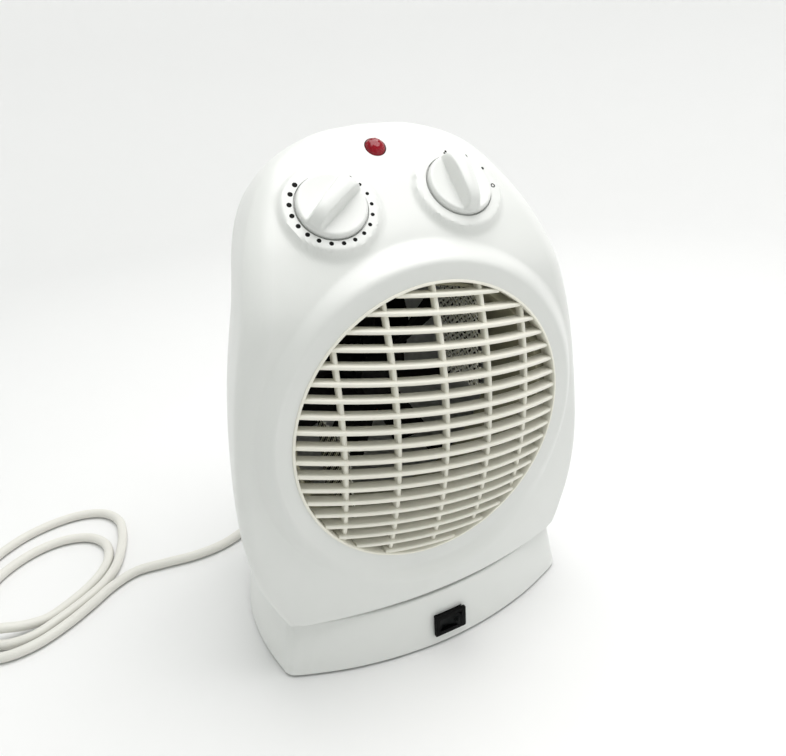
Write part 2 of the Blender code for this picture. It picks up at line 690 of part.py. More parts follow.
def base():
    edge = 0.0012
    cover = plan_solid("base_cover", [
        (SKIRT_Z, base_outline(0.0, SKIRT_Z)), (BASE_TOP - edge, base_outline(0.0, BASE_TOP - edge)),
        (BASE_TOP, base_outline(edge, BASE_TOP))], WHITE)
    roof = BASE_TOP - WALL
    cut(cover, plan_solid("base_hollow", [
        (0.0, base_outline(WALL)), (roof, base_outline(WALL, roof))], WHITE))
    cut(cover, rod("pivot_hole", (0, 0, 0.03), (0, 0, 0.04), PIVOT_R + 0.0005, WHITE))
    wide, high = ROCKER_SIZE
    cut(cover, box("switch_hole", (-wide / 2 + 0.001, -0.09, ROCKER.z - high / 2 + 0.001),
                   (wide / 2 - 0.001, -0.06, ROCKER.z + high / 2 - 0.001), WHITE))
    cut(cover, rod("cord_hole", STRAIN_EXIT - STRAIN_AIM * 0.012, STRAIN_EXIT + STRAIN_AIM * 0.012,
                   0.0058, WHITE, 24))
    plate = plan_solid("bottom_plate", [
        (FOOT_H + GAP, base_outline(WALL + GAP, PLATE_TOP)),
        (PLATE_TOP, base_outline(WALL + GAP, PLATE_TOP))], GREY)
    cut(plate, rod("plunger_hole", (0.050, 0.030, 0), (0.050, 0.030, 0.01), 0.0034, GREY, 20))
    feet = (("front_left", -0.070, -0.038), ("front_right", 0.070, -0.038),
            ("rear_left", -0.062, 0.045), ("rear_right", 0.062, 0.045))
    for word, x, y in feet:
        rod(f"foot_{word}", (x, y, 0), (x, y, FOOT_H), 0.0075, RUBBER, 28, tip=0.0068)
    for word, x, y in (("left", -0.048, -0.040), ("right", 0.048, -0.040), ("rear", 0.0, 0.062)):
        cut(plate, rod(f"plate_hole_{word}", (x, y, 0), (x, y, 0.01), 0.0018, GREY, 16))
        head = rod(f"base_screw_{word}", (x, y, 0.0024), (x, y, FOOT_H), 0.0034, STEEL, 20)
        fuse(head, rod(f"base_shank_{word}", (x, y, 0.004), (x, y, 0.0130), 0.0015, STEEL, 12))
        cut(head, boxes(f"base_drive_{word}", [((x - 0.002, y - 0.0004, 0.001),
                                                (x + 0.002, y + 0.0004, 0.0034))], STEEL))


def rocker_switch():
    wide, high = ROCKER_SIZE
    face = ROCKER.y - 0.0016
    bezel = box("switch_bezel", (-wide / 2, face, ROCKER.z - high / 2),
                (wide / 2, ROCKER.y - GAP, ROCKER.z + high / 2), BLACK)
    fuse(bezel, box("switch_body", (-wide / 2 + 0.0015, face + 0.0004, ROCKER.z - high / 2 + 0.0015),
                    (wide / 2 - 0.0015, ROCKER.y + 0.0150, ROCKER.z + high / 2 - 0.0015), BLACK))
    cut(bezel, box("rocker_pocket", (-wide / 2 + 0.0028, face - 0.01, ROCKER.z - high / 2 + 0.0028),
                   (wide / 2 - 0.0028, ROCKER.y + 0.0060, ROCKER.z + high / 2 - 0.0028), BLACK))
    half = wide / 2 - 0.0036
    tall = high / 2 - 0.0033
    bm = bmesh.new()
    outline = ((-half, -0.0030), (0.0, -0.0004), (half, -0.0030),
               (half * 0.72, 0.0030), (-half * 0.72, 0.0030))
    for z in (-tall, tall):
        for x, y in outline:
            bm.verts.new((x, y, z))
    bm.verts.ensure_lookup_table()
    count = len(outline)
    bm.faces.new(bm.verts[:count])
    bm.faces.new(bm.verts[count:])
    for i in range(count):
        k = (i + 1) % count
        bm.faces.new((bm.verts[i], bm.verts[k], bm.verts[count + k], bm.verts[count + i]))
    made = from_bmesh("rocker", bm, BLACK)
    made.location = ROCKER + Vector((0.0, ROCKER_DEPTH, 0.0))
    made.rotation_euler = (0.0, 0.0, ROCKER_TILT)


ROCKER_DEPTH = 0.0010
ROCKER_TILT = math.radians(-8)


def swivel():
    """The head's pivot tube, and the crank drive that swings it from inside the base."""
    ring = [(0.0200, BASE_TOP + 0.0019), (0.0200, BASE_TOP + GAP), (PIVOT_R + 0.0005, BASE_TOP + GAP),
            (PIVOT_R + 0.0005, BASE_TOP + 0.0019)]
    turned("thrust_ring", ring, Matrix.Identity(4), BLACK, 28, ring=True)
    floor_top = HEAD_Z + WALL
    hub = [(0.0420, floor_top + 0.0030), (0.0420, floor_top + GAP), (0.0190, floor_top + GAP),
           (0.0190, HEAD_Z), (PIVOT_R, HEAD_Z), (PIVOT_R, 0.0338), (0.0060, 0.0338),
           (0.0060, floor_top + 0.0030)]
    turned("swivel_plate", hub, Matrix.Identity(4), WHITE, 28, ring=True)
    arm = rod("drive_arm", (0, 0, 0.0308), (0, 0, 0.0334), 0.0125, STEEL, 32)
    fuse(arm, box("arm_blade", (-0.0075, 0.005, 0.0308), (0.0075, 0.0475, 0.0334), STEEL))
    cut(arm, rod("arm_bore", (0, 0, 0.02), (0, 0, 0.04), 0.0060, STEEL, 24))
    cut(arm, box("arm_slot", (-0.0034, 0.0205, 0.02), (0.0034, 0.0445, 0.04), STEEL))
    can = rod("swing_motor", (0, CRANK_Y, 0.0078), (0, CRANK_Y, 0.0200), 0.0230, STEEL, 40)
    cut(can, rod("swing_motor_bore", (0, CRANK_Y, 0.012), (0, CRANK_Y, 0.03), 0.0033, STEEL, 20))
    crank = rod("drive_crank", (0, CRANK_Y, 0.0268), (0, CRANK_Y, 0.0290), CRANK_THROW + 0.0035,
                GREY, 32)
    fuse(crank, rod("crank_shaft", (0, CRANK_Y, 0.0130), (0, CRANK_Y, 0.0280), 0.0030, STEEL, 20))
    pin_y = CRANK_Y + CRANK_THROW
    fuse(crank, rod("crank_pin", (0, pin_y, 0.0280), (0, pin_y, 0.0334), 0.0015, STEEL, 16))


def base_inside():
    box("terminal_block", (-0.062, -0.012, 0.0078), (-0.046, 0.018, 0.0178), GRILLE_WHITE)
    body = box("tip_switch", (0.0440, 0.0240, 0.0160), (0.0560, 0.0360, 0.0270), BLACK)
    cut(body, rod("tip_switch_bore", (0.050, 0.030, 0.01), (0.050, 0.030, 0.0220), 0.0028, BLACK, 20))
    plunger = rod("tip_plunger", (0.050, 0.030, 0.0003), (0.050, 0.030, 0.0205), 0.0024, RED, 20)
    fuse(plunger, rod("plunger_collar", (0.050, 0.030, 0.0110), (0.050, 0.030, 0.0125), 0.0048, RED,
                      20))


# ---------------------------------------------------------------- cord
STRAIN_LENGTH = 0.0240
STRAIN_R = (0.0055, 0.0042)
FLOOR_Z = 0.0036                 # the cord's middle where it lies on the floor
CORD_ROUTE = (
    (0.0168, 0.1215, 0.0066), (0.0060, 0.1300, 0.0040), (-0.0085, 0.1325, FLOOR_Z),
    (-0.0240, 0.1285, FLOOR_Z), (-0.0440, 0.1160, FLOOR_Z), (-0.0630, 0.1030, FLOOR_Z),
    (-0.0804, 0.0922, FLOOR_Z), (-0.0980, 0.0850, FLOOR_Z), (-0.1180, 0.0835, FLOOR_Z),
    (-0.1390, 0.0865, FLOOR_Z), (-0.1580, 0.0882, FLOOR_Z), (-0.1745, 0.0812, FLOOR_Z),
    (-0.1895, 0.0700, FLOOR_Z), (-0.2060, 0.0590, FLOOR_Z), (-0.2250, 0.0505, FLOOR_Z),
    (-0.2440, 0.0500, FLOOR_Z), (-0.2600, 0.0600, FLOOR_Z), (-0.2680, 0.0770, FLOOR_Z),
    (-0.2695, 0.0970, FLOOR_Z), (-0.2670, 0.1180, FLOOR_Z), (-0.2590, 0.1400, FLOOR_Z),
    (-0.2460, 0.1590, FLOOR_Z), (-0.2270, 0.1730, FLOOR_Z), (-0.2050, 0.1800, FLOOR_Z),
    (-0.1850, 0.1800, FLOOR_Z), (-0.1690, 0.1722, FLOOR_Z), (-0.1604, 0.1570, FLOOR_Z),
    (-0.1602, 0.1380, FLOOR_Z), (-0.1640, 0.1190, FLOOR_Z), (-0.1700, 0.1015, FLOOR_Z),
    (-0.1800, 0.0870, FLOOR_Z), (-0.1935, 0.0762, FLOOR_Z), (-0.2090, 0.0668, FLOOR_Z),
    (-0.2260, 0.0592, FLOOR_Z), (-0.2420, 0.0604, FLOOR_Z), (-0.2545, 0.0702, FLOOR_Z),
    (-0.2605, 0.0860, FLOOR_Z), (-0.2590, 0.1050, FLOOR_Z), (-0.2515, 0.1240, FLOOR_Z),
    (-0.2380, 0.1395, FLOOR_Z), (-0.2200, 0.1500, FLOOR_Z), (-0.2005, 0.1528, FLOOR_Z),
    (-0.1830, 0.1462, FLOOR_Z), (-0.1732, 0.1315, FLOOR_Z), (-0.1732, 0.1145, FLOOR_Z),
    (-0.1798, 0.0997, FLOOR_Z), (-0.1905, 0.0878, FLOOR_Z), (-0.2030, 0.0785, FLOOR_Z),
    (-0.2165, 0.0715, FLOOR_Z), (-0.2300, 0.0690, 0.0062), (-0.2430, 0.0690, 0.0102),
    (-0.2560, 0.0705, 0.0112), (-0.2690, 0.0712, 0.0110), (-0.2810, 0.0695, 0.0076),
    (-0.2915, 0.0657, 0.0040),
)
TAIL_ROUTE = (
    (-0.3635, 0.1130, 0.0095), (-0.3640, 0.1260, 0.0062), (-0.3630, 0.1390, 0.0050),
    (-0.3602, 0.1520, 0.0078), (-0.3562, 0.1650, 0.0110), (-0.3520, 0.1765, 0.0116),
)
COIL_LAYERS = 2
COIL_WIDE = 2


def strain_relief():
    start = STRAIN_EXIT - STRAIN_AIM * 0.0070
    end = STRAIN_EXIT + STRAIN_AIM * STRAIN_LENGTH
    relief = rod("strain_relief", STRAIN_EXIT + STRAIN_AIM * 0.0022, end, STRAIN_R[0], CORD_WHITE, 24,
                 tip=STRAIN_R[1])
    fuse(relief, rod("relief_neck", start, STRAIN_EXIT + STRAIN_AIM * 0.004, 0.0046, CORD_WHITE, 24))
    fuse(relief, rod("relief_flange", start - STRAIN_AIM * 0.002, start + STRAIN_AIM * 0.0002, 0.0064,
                     CORD_WHITE, 24))
    return end


def plug(start, aim):
    """Straight two-pin plug: a rounded body that widens from the cord to its flat face."""
    place = axis_frame(start, aim)
    sections = ((0.0, 0.0050, 0.0050), (0.008, 0.0060, 0.0058), (0.016, 0.0125, 0.0085),
                (0.024, 0.0165, 0.0108), (0.034, 0.0175, 0.0112), (0.0350, 0.0168, 0.0105))
    sides = 28
    bm = bmesh.new()
    rings = []
    for z, wide, high in sections:
        ring = []
        for i in range(sides):
            a = 2 * math.pi * i / sides
            c, s = math.cos(a), math.sin(a)
            ring.append(bm.verts.new((wide * math.copysign(abs(c) ** 0.75, c),
                                      high * math.copysign(abs(s) ** 0.75, s), z)))
        rings.append(ring)
    for a, b in zip(rings, rings[1:]):
        for i in range(sides):
            k = (i + 1) % sides
            bm.faces.new((a[i], a[k], b[k], b[i]))
    bm.faces.new(rings[0])
    bm.faces.new(rings[-1])
    bm.transform(place)
    body = from_bmesh("plug", bm, CORD_WHITE)
    pins = [(place @ Vector((x, 0.0, 0.030)), place @ Vector((x, 0.0, 0.054))) for x in (-0.0095, 0.0095)]
    fuse(body, rods("plug_pins", pins, 0.0024, BRASS, 16))


def cord():
    first = strain_relief() + STRAIN_AIM * GAP
    lead = first + STRAIN_AIM * 0.008
    tube("power_cord", smooth_curve([first, lead, *CORD_ROUTE], 2), CORD_R, CORD_WHITE)
    width = COIL_WIDE * CORD_R
    top = FLOOR_Z - CORD_R + 2 * CORD_R * COIL_LAYERS
    low = FLOOR_Z - CORD_R
    ring = [(COIL_R + width - 0.0015, top), (COIL_R + width, top - 0.0015),
            (COIL_R + width, low + 0.0015), (COIL_R + width - 0.0015, low),
            (COIL_R - width + 0.0015, low), (COIL_R - width, low + 0.0015),
            (COIL_R - width, top - 0.0015), (COIL_R - width + 0.0015, top)]
    turned("cord_coil", ring, Matrix.Translation(COIL_CENTRE), CORD_WHITE, 32, ring=True)
    tube("cord_tail", smooth_curve(TAIL_ROUTE, 2), CORD_R, CORD_WHITE)
    end, before = Vector(TAIL_ROUTE[-1]), Vector(TAIL_ROUTE[-2])
    aim = Vector(((end - before).x, (end - before).y, 0.0)).normalized()
    plug(end + aim * GAP, aim)


def build():
    front_housing()
    rear_housing()
    housing_screws()
    outlet_grille()
    heater()
    fan()
    motor()
    controls()
    base()
    rocker_switch()
    swivel()
    base_inside()
    cord()


build()
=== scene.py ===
"""Looks of the oscillating fan heater: fine shells, grille, controls, cord and materials
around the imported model. Metres, +Z up, the outlet faces -Y, and the origin is on the floor."""
import json
import math

import bmesh
import bpy
import numpy as np
from mathutils import Matrix, Vector
from mathutils.bvhtree import BVHTree


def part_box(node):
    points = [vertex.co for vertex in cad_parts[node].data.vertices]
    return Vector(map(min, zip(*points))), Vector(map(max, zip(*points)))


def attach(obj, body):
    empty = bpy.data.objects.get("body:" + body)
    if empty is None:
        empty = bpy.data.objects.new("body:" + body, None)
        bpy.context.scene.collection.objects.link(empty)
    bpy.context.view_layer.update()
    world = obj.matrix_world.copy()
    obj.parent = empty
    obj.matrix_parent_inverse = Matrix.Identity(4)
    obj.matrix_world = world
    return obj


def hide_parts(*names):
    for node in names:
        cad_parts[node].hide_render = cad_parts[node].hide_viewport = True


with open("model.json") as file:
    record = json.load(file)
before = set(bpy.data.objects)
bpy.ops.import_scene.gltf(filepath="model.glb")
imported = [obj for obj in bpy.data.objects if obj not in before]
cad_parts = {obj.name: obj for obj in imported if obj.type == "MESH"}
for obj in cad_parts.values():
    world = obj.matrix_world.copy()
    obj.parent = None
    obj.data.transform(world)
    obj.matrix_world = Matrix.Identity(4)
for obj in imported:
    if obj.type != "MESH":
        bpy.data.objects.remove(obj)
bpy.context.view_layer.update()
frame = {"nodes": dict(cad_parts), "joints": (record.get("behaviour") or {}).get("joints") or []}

# ---------------------------------------------------------------- dimensions shared with the CAD
HEIGHT = 0.290
HEAD_Z = 0.0385
WALL = 0.0022
GAP = 0.0004
grille_low, grille_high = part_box("outlet_grille")
OUTLET_Z = (grille_low.z + grille_high.z) / 2
GRILLE_R = (grille_high.x - grille_low.x) / 2
OUTLET_R = GRILLE_R + 0.0005
OUTLET_Y = -0.0633
DOME = 0.0165
LOUVRE_TURN = math.radians(9.2)
RIB_TURN = math.radians(2.5)
LOUVRES = 19
LOUVRE_PITCH = 0.0081
LOUVRE_DROP = 0.0012
RIB_X = (-0.0536, -0.0268, 0.0, 0.0268, 0.0536)
KNOB_R = 0.0172
BOSS_R = 0.0235
LAMP = Vector((0.0, -0.0130, 0.2799))
LAMP_AXIS = Vector((0.0, -math.cos(math.radians(41)), math.sin(math.radians(41))))
REAR_Y = 0.0825
TAPER = 2.45
REAR_TOP_DROP = 0.30
FILLET_WIDTH = 1.15
REAR_RADIUS = 0.022
RIM = (                          # half outline of the head: x, z, depth of the rim's rounding
    (0.0000, 0.2900, 0.0020), (0.0260, 0.2880, 0.0025), (0.0500, 0.2795, 0.0040),
    (0.0660, 0.2655, 0.0075), (0.0790, 0.2440, 0.0100), (0.0880, 0.2180, 0.0100),
    (0.0980, 0.1800, 0.0075), (0.1040, 0.1400, 0.0055), (0.1062, 0.1000, 0.0050),
    (0.1025, 0.0700, 0.0055), (0.0942, 0.0460, 0.0050), (0.0905, HEAD_Z, 0.0040),
)
FACE = (                         # centre line of the face: z, y
    (HEAD_Z, -0.0692), (0.0700, -0.0673), (0.1400, -0.0648), (0.2000, -0.0643), (0.2200, -0.0612),
    (0.2426, -0.0478), (0.2600, -0.0328), (0.2800, -0.0138), (0.2885, -0.0028), (0.2910, 0.0030),
)
FACE_BOW = 1.04
SEAM_BOW = 0.85
SEAM_FADE = 0.025
PARTING = ((0.0300, -0.0330), (0.1850, -0.0330), (0.2100, -0.0270), (0.3000, 0.0330))
BASE_HALF = ((0.0000, -0.0730), (0.0300, -0.0708), (0.0600, -0.0645), (0.0850, -0.0556),
             (0.0930, -0.0520), (0.0955, -0.0490), (0.0968, -0.0440), (0.0995, -0.0250),
             (0.1000, -0.0050), (0.0980, 0.0150), (0.0910, 0.0380), (0.0780, 0.0570),
             (0.0580, 0.0700), (0.0300, 0.0770), (0.0000, 0.0790))
BASE_DRAFT = 0.94
BASE_TOP = 0.0362
SKIRT_Z = 0.0015
joints = {joint["name"]: joint for joint in frame["joints"]}

# The cord's route on the floor, as in the CAD.
FLOOR_Z = 0.0036
CORD_R = 0.00325
STRAIN_EXIT = Vector((0.0240, 0.0762, 0.0145))
STRAIN_AIM = Vector((-0.12, 0.985, -0.12)).normalized()
STRAIN_LENGTH = 0.0240
PIN_X = 0.0095                   # half the spacing of the plug's pins
CORD_ROUTE = (
    (0.0168, 0.1215, 0.0066), (0.0060, 0.1300, 0.0040), (-0.0085, 0.1325, FLOOR_Z),
    (-0.0240, 0.1285, FLOOR_Z), (-0.0440, 0.1160, FLOOR_Z), (-0.0630, 0.1030, FLOOR_Z),
    (-0.0804, 0.0922, FLOOR_Z), (-0.0980, 0.0850, FLOOR_Z), (-0.1180, 0.0835, FLOOR_Z),
    (-0.1390, 0.0865, FLOOR_Z), (-0.1580, 0.0882, FLOOR_Z), (-0.1745, 0.0812, FLOOR_Z),
    (-0.1895, 0.0700, FLOOR_Z), (-0.2060, 0.0590, FLOOR_Z), (-0.2250, 0.0505, FLOOR_Z),
    (-0.2440, 0.0500, FLOOR_Z), (-0.2600, 0.0600, FLOOR_Z), (-0.2680, 0.0770, FLOOR_Z),
    (-0.2695, 0.0970, FLOOR_Z), (-0.2670, 0.1180, FLOOR_Z), (-0.2590, 0.1400, FLOOR_Z),
    (-0.2460, 0.1590, FLOOR_Z), (-0.2270, 0.1730, FLOOR_Z), (-0.2050, 0.1800, FLOOR_Z),
    (-0.1850, 0.1800, FLOOR_Z), (-0.1690, 0.1722, FLOOR_Z), (-0.1604, 0.1570, FLOOR_Z),
    (-0.1602, 0.1380, FLOOR_Z), (-0.1640, 0.1190, FLOOR_Z), (-0.1700, 0.1015, FLOOR_Z),
    (-0.1800, 0.0870, FLOOR_Z), (-0.1935, 0.0762, FLOOR_Z), (-0.2090, 0.0668, FLOOR_Z),
    (-0.2260, 0.0592, FLOOR_Z), (-0.2420, 0.0604, FLOOR_Z), (-0.2545, 0.0702, FLOOR_Z),
    (-0.2605, 0.0860, FLOOR_Z), (-0.2590, 0.1050, FLOOR_Z), (-0.2515, 0.1240, FLOOR_Z),
    (-0.2380, 0.1395, FLOOR_Z), (-0.2200, 0.1500, FLOOR_Z), (-0.2005, 0.1528, FLOOR_Z),
    (-0.1830, 0.1462, FLOOR_Z), (-0.1732, 0.1315, FLOOR_Z), (-0.1732, 0.1145, FLOOR_Z),
    (-0.1798, 0.0997, FLOOR_Z), (-0.1905, 0.0878, FLOOR_Z), (-0.2030, 0.0785, FLOOR_Z),
    (-0.2165, 0.0715, FLOOR_Z), (-0.2300, 0.0690, 0.0062), (-0.2430, 0.0690, 0.0102),
    (-0.2560, 0.0705, 0.0112), (-0.2690, 0.0712, 0.0110), (-0.2810, 0.0695, 0.0076),
    (-0.2915, 0.0657, 0.0040),
)
TAIL_ROUTE = (
    (-0.3635, 0.1130, 0.0095), (-0.3640, 0.1260, 0.0062), (-0.3630, 0.1390, 0.0050),
    (-0.3602, 0.1520, 0.0078), (-0.3562, 0.1650, 0.0110), (-0.3520, 0.1765, 0.0116),
)
COIL_CENTRE = Vector((-0.3170, 0.1050, 0.0))
COIL_R = 0.0360


# ---------------------------------------------------------------- camera, light and stage
def camera():
    place = Vector((-0.15888, -0.34971, 0.33298))
    back = Vector((-0.3865, -0.8114, 0.4384)).normalized()
    right = Vector((0.8883, -0.4553, -0.0596))
    right = (right - back * right.dot(back)).normalized()
    up = back.cross(right)
    data = bpy.data.cameras.new("camera")
    data.sensor_width = 36.0
    data.lens = 32.82
    made = bpy.data.objects.new("camera", data)
    bpy.context.scene.collection.objects.link(made)
    made.matrix_world = Matrix.Translation(place) @ Matrix((right, up, back)).transposed().to_4x4()
    bpy.context.scene.camera = made


def area_light(name, place, target, size, power, colour=(1, 1, 1)):
    data = bpy.data.lights.new(name, "AREA")
    data.shape = "RECTANGLE"
    data.size, data.size_y = size
    data.energy = power
    data.color = colour
    made = bpy.data.objects.new(name, data)
    bpy.context.scene.collection.objects.link(made)
    made.location = place
    made.rotation_euler = (Vector(place) - Vector(target)).to_track_quat("Z", "Y").to_euler()


def studio():
    """A round infinity cove, its wall painted grey at the front as painted shade, under a large soft top light.
    """
    world = bpy.data.worlds.new("studio")
    world.use_nodes = True
    sky = world.node_tree.nodes["Background"]
    sky.inputs["Color"].default_value = (0.90, 1.0, 0.91, 1.0)
    sky.inputs["Strength"].default_value = 0.39
    bpy.context.scene.world = world
    bpy.context.scene.view_settings.view_transform = "Standard"
    area_light("top_light", (0.22, -0.04, 1.40), (0, 0, 0.1), (1.2, 1.2), 17.0, (1.0, 0.975, 0.985))
    reach, bend, height = 0.95, 0.35, 1.5
    profile = [(0.25 * i, 0.0) for i in range(1, 4)]
    profile += [(reach + bend * math.sin(math.radians(a)), bend * (1 - math.cos(math.radians(a))))
                for a in range(0, 91, 6)]
    profile.append((reach + bend, height))
    bm = bmesh.new()
    steps = 96
    rings = [[(r * math.cos(2 * math.pi * j / steps), r * math.sin(2 * math.pi * j / steps), z)
              for j in range(steps)] for r, z in profile]
    loft(bm, rings, cap_start=True)
    bmesh.ops.recalc_face_normals(bm, faces=bm.faces)
    mesh = bpy.data.meshes.new("cove")
    bm.to_mesh(mesh)
    bm.free()
    mesh.shade_smooth()
    cove = bpy.data.objects.new("cove", mesh)
    bpy.context.scene.collection.objects.link(cove)
    paper = paint("studio_paper", (0.87, 0.87, 0.87), 0.7, mottle=0.006, grain=40.0)
    tree = paper.node_tree
    # painted shade: the wall's colour runs from light to dark grey towards the front of the cove
    towards_front = node(tree, "ShaderNodeVectorMath", {1: (-0.26, -0.54, 0.15)}, operation="DOT_PRODUCT")
    tree.links.new(node(tree, "ShaderNodeTexCoord").outputs["Object"], towards_front.inputs[0])
    front_wall_shade = ramp(tree, towards_front.outputs["Value"], 0.60, 0.82, (0.87, 0.87, 0.87), (0.40, 0.42, 0.40))
    tree.links.new(front_wall_shade, tree.nodes["Principled BSDF"].inputs["Base Color"])
    mesh.materials.append(paper)


# ---------------------------------------------------------------- materials
def node(tree, kind, inputs=None, **values):
    made = tree.nodes.new(kind)
    for key, value in values.items():
        setattr(made, key, value)
    for key, value in (inputs or {}).items():
        made.inputs[key].default_value = value
    return made


def noise(tree, coords, scale, detail=3.0, roughness=0.5):
    made = node(tree, "ShaderNodeTexNoise",
                {"Scale": scale, "Detail": detail, "Roughness": roughness})
    tree.links.new(coords, made.inputs["Vector"])
    return made.outputs["Fac"]


def ramp(tree, value, low, high, low_colour, high_colour):
    made = node(tree, "ShaderNodeValToRGB")
    stops = made.color_ramp.elements
    stops[0].position, stops[1].position = low, high
    stops[0].color, stops[1].color = (*low_colour, 1.0), (*high_colour, 1.0)
    tree.links.new(value, made.inputs["Fac"])
    return made.outputs["Color"]


def shade(colour, factor):
    return tuple(min(1.0, max(0.0, c * factor)) for c in colour)


def paint(name, colour, roughness, metallic=0.0, mottle=0.03, grain=900.0, bump=0.0,
          rough_spread=0.08, fixed=None):
    """Procedural surface: mottled colour, uneven gloss and a fine grain bump."""
    made = bpy.data.materials.new(name)
    made.use_nodes = True
    tree = made.node_tree
    shader = tree.nodes["Principled BSDF"]
    coords = node(tree, "ShaderNodeTexCoord").outputs["Object"]
    cloud = noise(tree, coords, 22.0, 4.0)
    tint = ramp(tree, cloud, 0.3, 0.7, shade(colour, 1 - mottle), shade(colour, 1 + mottle))
    tree.links.new(tint, shader.inputs["Base Color"])
    fine = noise(tree, coords, grain, 2.0)
    gloss = node(tree, "ShaderNodeMapRange", {"From Min": 0.3, "From Max": 0.7,
                                              "To Min": max(0.02, roughness - rough_spread),
                                              "To Max": min(1.0, roughness + rough_spread)})
    tree.links.new(fine, gloss.inputs["Value"])
    tree.links.new(gloss.outputs["Result"], shader.inputs["Roughness"])
    shader.inputs["Metallic"].default_value = metallic
    if bump:
        height = noise(tree, coords, grain, 3.0)
        relief = node(tree, "ShaderNodeBump", {"Strength": bump, "Distance": 0.0003})
        tree.links.new(height, relief.inputs["Height"])
        tree.links.new(relief.outputs["Normal"], shader.inputs["Normal"])
    for key, value in (fixed or {}).items():
        shader.inputs[key].default_value = value
    return made


def wound_mica_with_gap_shade(name, board, gap_shade):
    """Mica board under a close winding: a checker of light cells and near-black cells, the near-black cells
    painted shade in the gaps between the turns.
    """
    made = paint(name, board, 0.5, grain=600.0)
    tree = made.node_tree
    coords = node(tree, "ShaderNodeTexCoord").outputs["Object"]
    # painted shade: the checker's second colour is near black, for the shade between the wire turns
    cells = node(tree, "ShaderNodeTexChecker",
                 {"Scale": 400.0, "Color1": (*board, 1.0), "Color2": (*gap_shade, 1.0)})
    tree.links.new(coords, cells.inputs["Vector"])
    tree.links.new(cells.outputs["Color"], tree.nodes["Principled BSDF"].inputs["Base Color"])
    return made


# ---------------------------------------------------------------- mesh helpers
def add_mesh(name, mesh, mat, body, sharp=35.0):
    mesh.materials.append(mat)
    mesh.shade_smooth()
    mesh.set_sharp_from_angle(angle=math.radians(sharp))
    made = bpy.data.objects.new(name, mesh)
    bpy.context.scene.collection.objects.link(made)
    if body:
        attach(made, body)
    return made


def from_bmesh(name, bm, mat, body, sharp=35.0):
    bmesh.ops.recalc_face_normals(bm, faces=bm.faces)
    mesh = bpy.data.meshes.new(name)
    bm.to_mesh(mesh)
    bm.free()
    return add_mesh(name, mesh, mat, body, sharp)


def loft(bm, rings, close=True, cap_start=False, cap_end=False):
    """Quads between successive rings of points."""
    rows = [[bm.verts.new(p) for p in ring] for ring in rings]
    count = len(rows[0])
    last = count if close else count - 1
    for a, b in zip(rows, rows[1:]):
        for j in range(last):
            k = (j + 1) % count
            bm.faces.new((a[j], a[k], b[k], b[j]))
    if cap_start:
        bm.faces.new(rows[0])
    if cap_end:
        bm.faces.new(rows[-1])
    return rows


def turned(bm, profile, place, steps=64):
    """Solid of revolution from a (radius, z) profile that starts and ends on the axis or is a ring."""
    rings = [[place @ Vector((r * math.cos(2 * math.pi * i / steps), r * math.sin(2 * math.pi * i / steps),
                              z)) for i in range(steps)] for r, z in profile if r > 0]
    on_axis_start, on_axis_end = profile[0][0] == 0, profile[-1][0] == 0
    rows = loft(bm, rings)
    for row, z, wanted in ((rows[0], profile[0][1], on_axis_start), (rows[-1], profile[-1][1], on_axis_end)):
        if wanted:
            tip = bm.verts.new(place @ Vector((0, 0, z)))
            for j in range(steps):
                bm.faces.new((row[j], row[(j + 1) % steps], tip))
    if not on_axis_start:
        for j in range(steps):
            k = (j + 1) % steps
            bm.faces.new((rows[-1][j], rows[-1][k], rows[0][k], rows[0][j]))


def axis_frame(origin, direction):
    z = Vector(direction).normalized()
    x = Vector((0.0, 0.0, 1.0)).cross(z)
    x = x.normalized() if x.length > 1e-6 else Vector((1.0, 0.0, 0.0))
    return Matrix.Translation(origin) @ Matrix((x, z.cross(x), z)).transposed().to_4x4()


def apply_boolean(target, cutter, operation="DIFFERENCE"):
    step = target.modifiers.new("boolean", "BOOLEAN")
    step.operation = operation
    step.solver = "EXACT"
    step.object = cutter
    bpy.context.view_layer.update()
    shaped = bpy.data.meshes.new_from_object(
        target.evaluated_get(bpy.context.evaluated_depsgraph_get()))
    target.modifiers.remove(step)
    old = target.data
    target.data = shaped
    bpy.data.meshes.remove(old)
    bpy.data.objects.remove(cutter, do_unlink=True)
    shaped.shade_smooth()
    shaped.set_sharp_from_angle(angle=math.radians(35))


def smooth_curve(points, per_span):
    """Catmull-Rom curve through the points."""
    points = [Vector(p) for p in points]
    padded = [2 * points[0] - points[1], *points, 2 * points[-1] - points[-2]]
    out = []
    for a, b, c, d in zip(padded, padded[1:], padded[2:], padded[3:]):
        for i in range(per_span):
            t = i / per_span
            out.append(0.5 * (2 * b + (c - a) * t + (2 * a - 5 * b + 4 * c - d) * t ** 2
                              + (3 * b - a - 3 * c + d) * t ** 3))
    return [*out, points[-1]]


def hermite(table, at):
    """Smooth values read from (at, value) stations in rising order; at is an array."""
    xs = np.array([row[0] for row in table])
    ys = np.array([row[1] for row in table])
    at = np.clip(at, xs[0], xs[-1])
    i = np.clip(np.searchsorted(xs, at) - 1, 0, len(xs) - 2)
    before, after = np.maximum(i - 1, 0), np.minimum(i + 2, len(xs) - 1)
    m0 = (ys[i + 1] - ys[before]) / (xs[i + 1] - xs[before])
    m1 = (ys[after] - ys[i]) / (xs[after] - xs[i])
    h = xs[i + 1] - xs[i]
    t = (at - xs[i]) / h
    return ((2 * t ** 3 - 3 * t ** 2 + 1) * ys[i] + (t ** 3 - 2 * t ** 2 + t) * h * m0
            + (3 * t ** 2 - 2 * t ** 3) * ys[i + 1] + (t ** 3 - t ** 2) * h * m1)


def smoothstep(low, high, value):
    t = np.clip((value - low) / (high - low), 0, 1)
    return t * t * (3 - 2 * t)


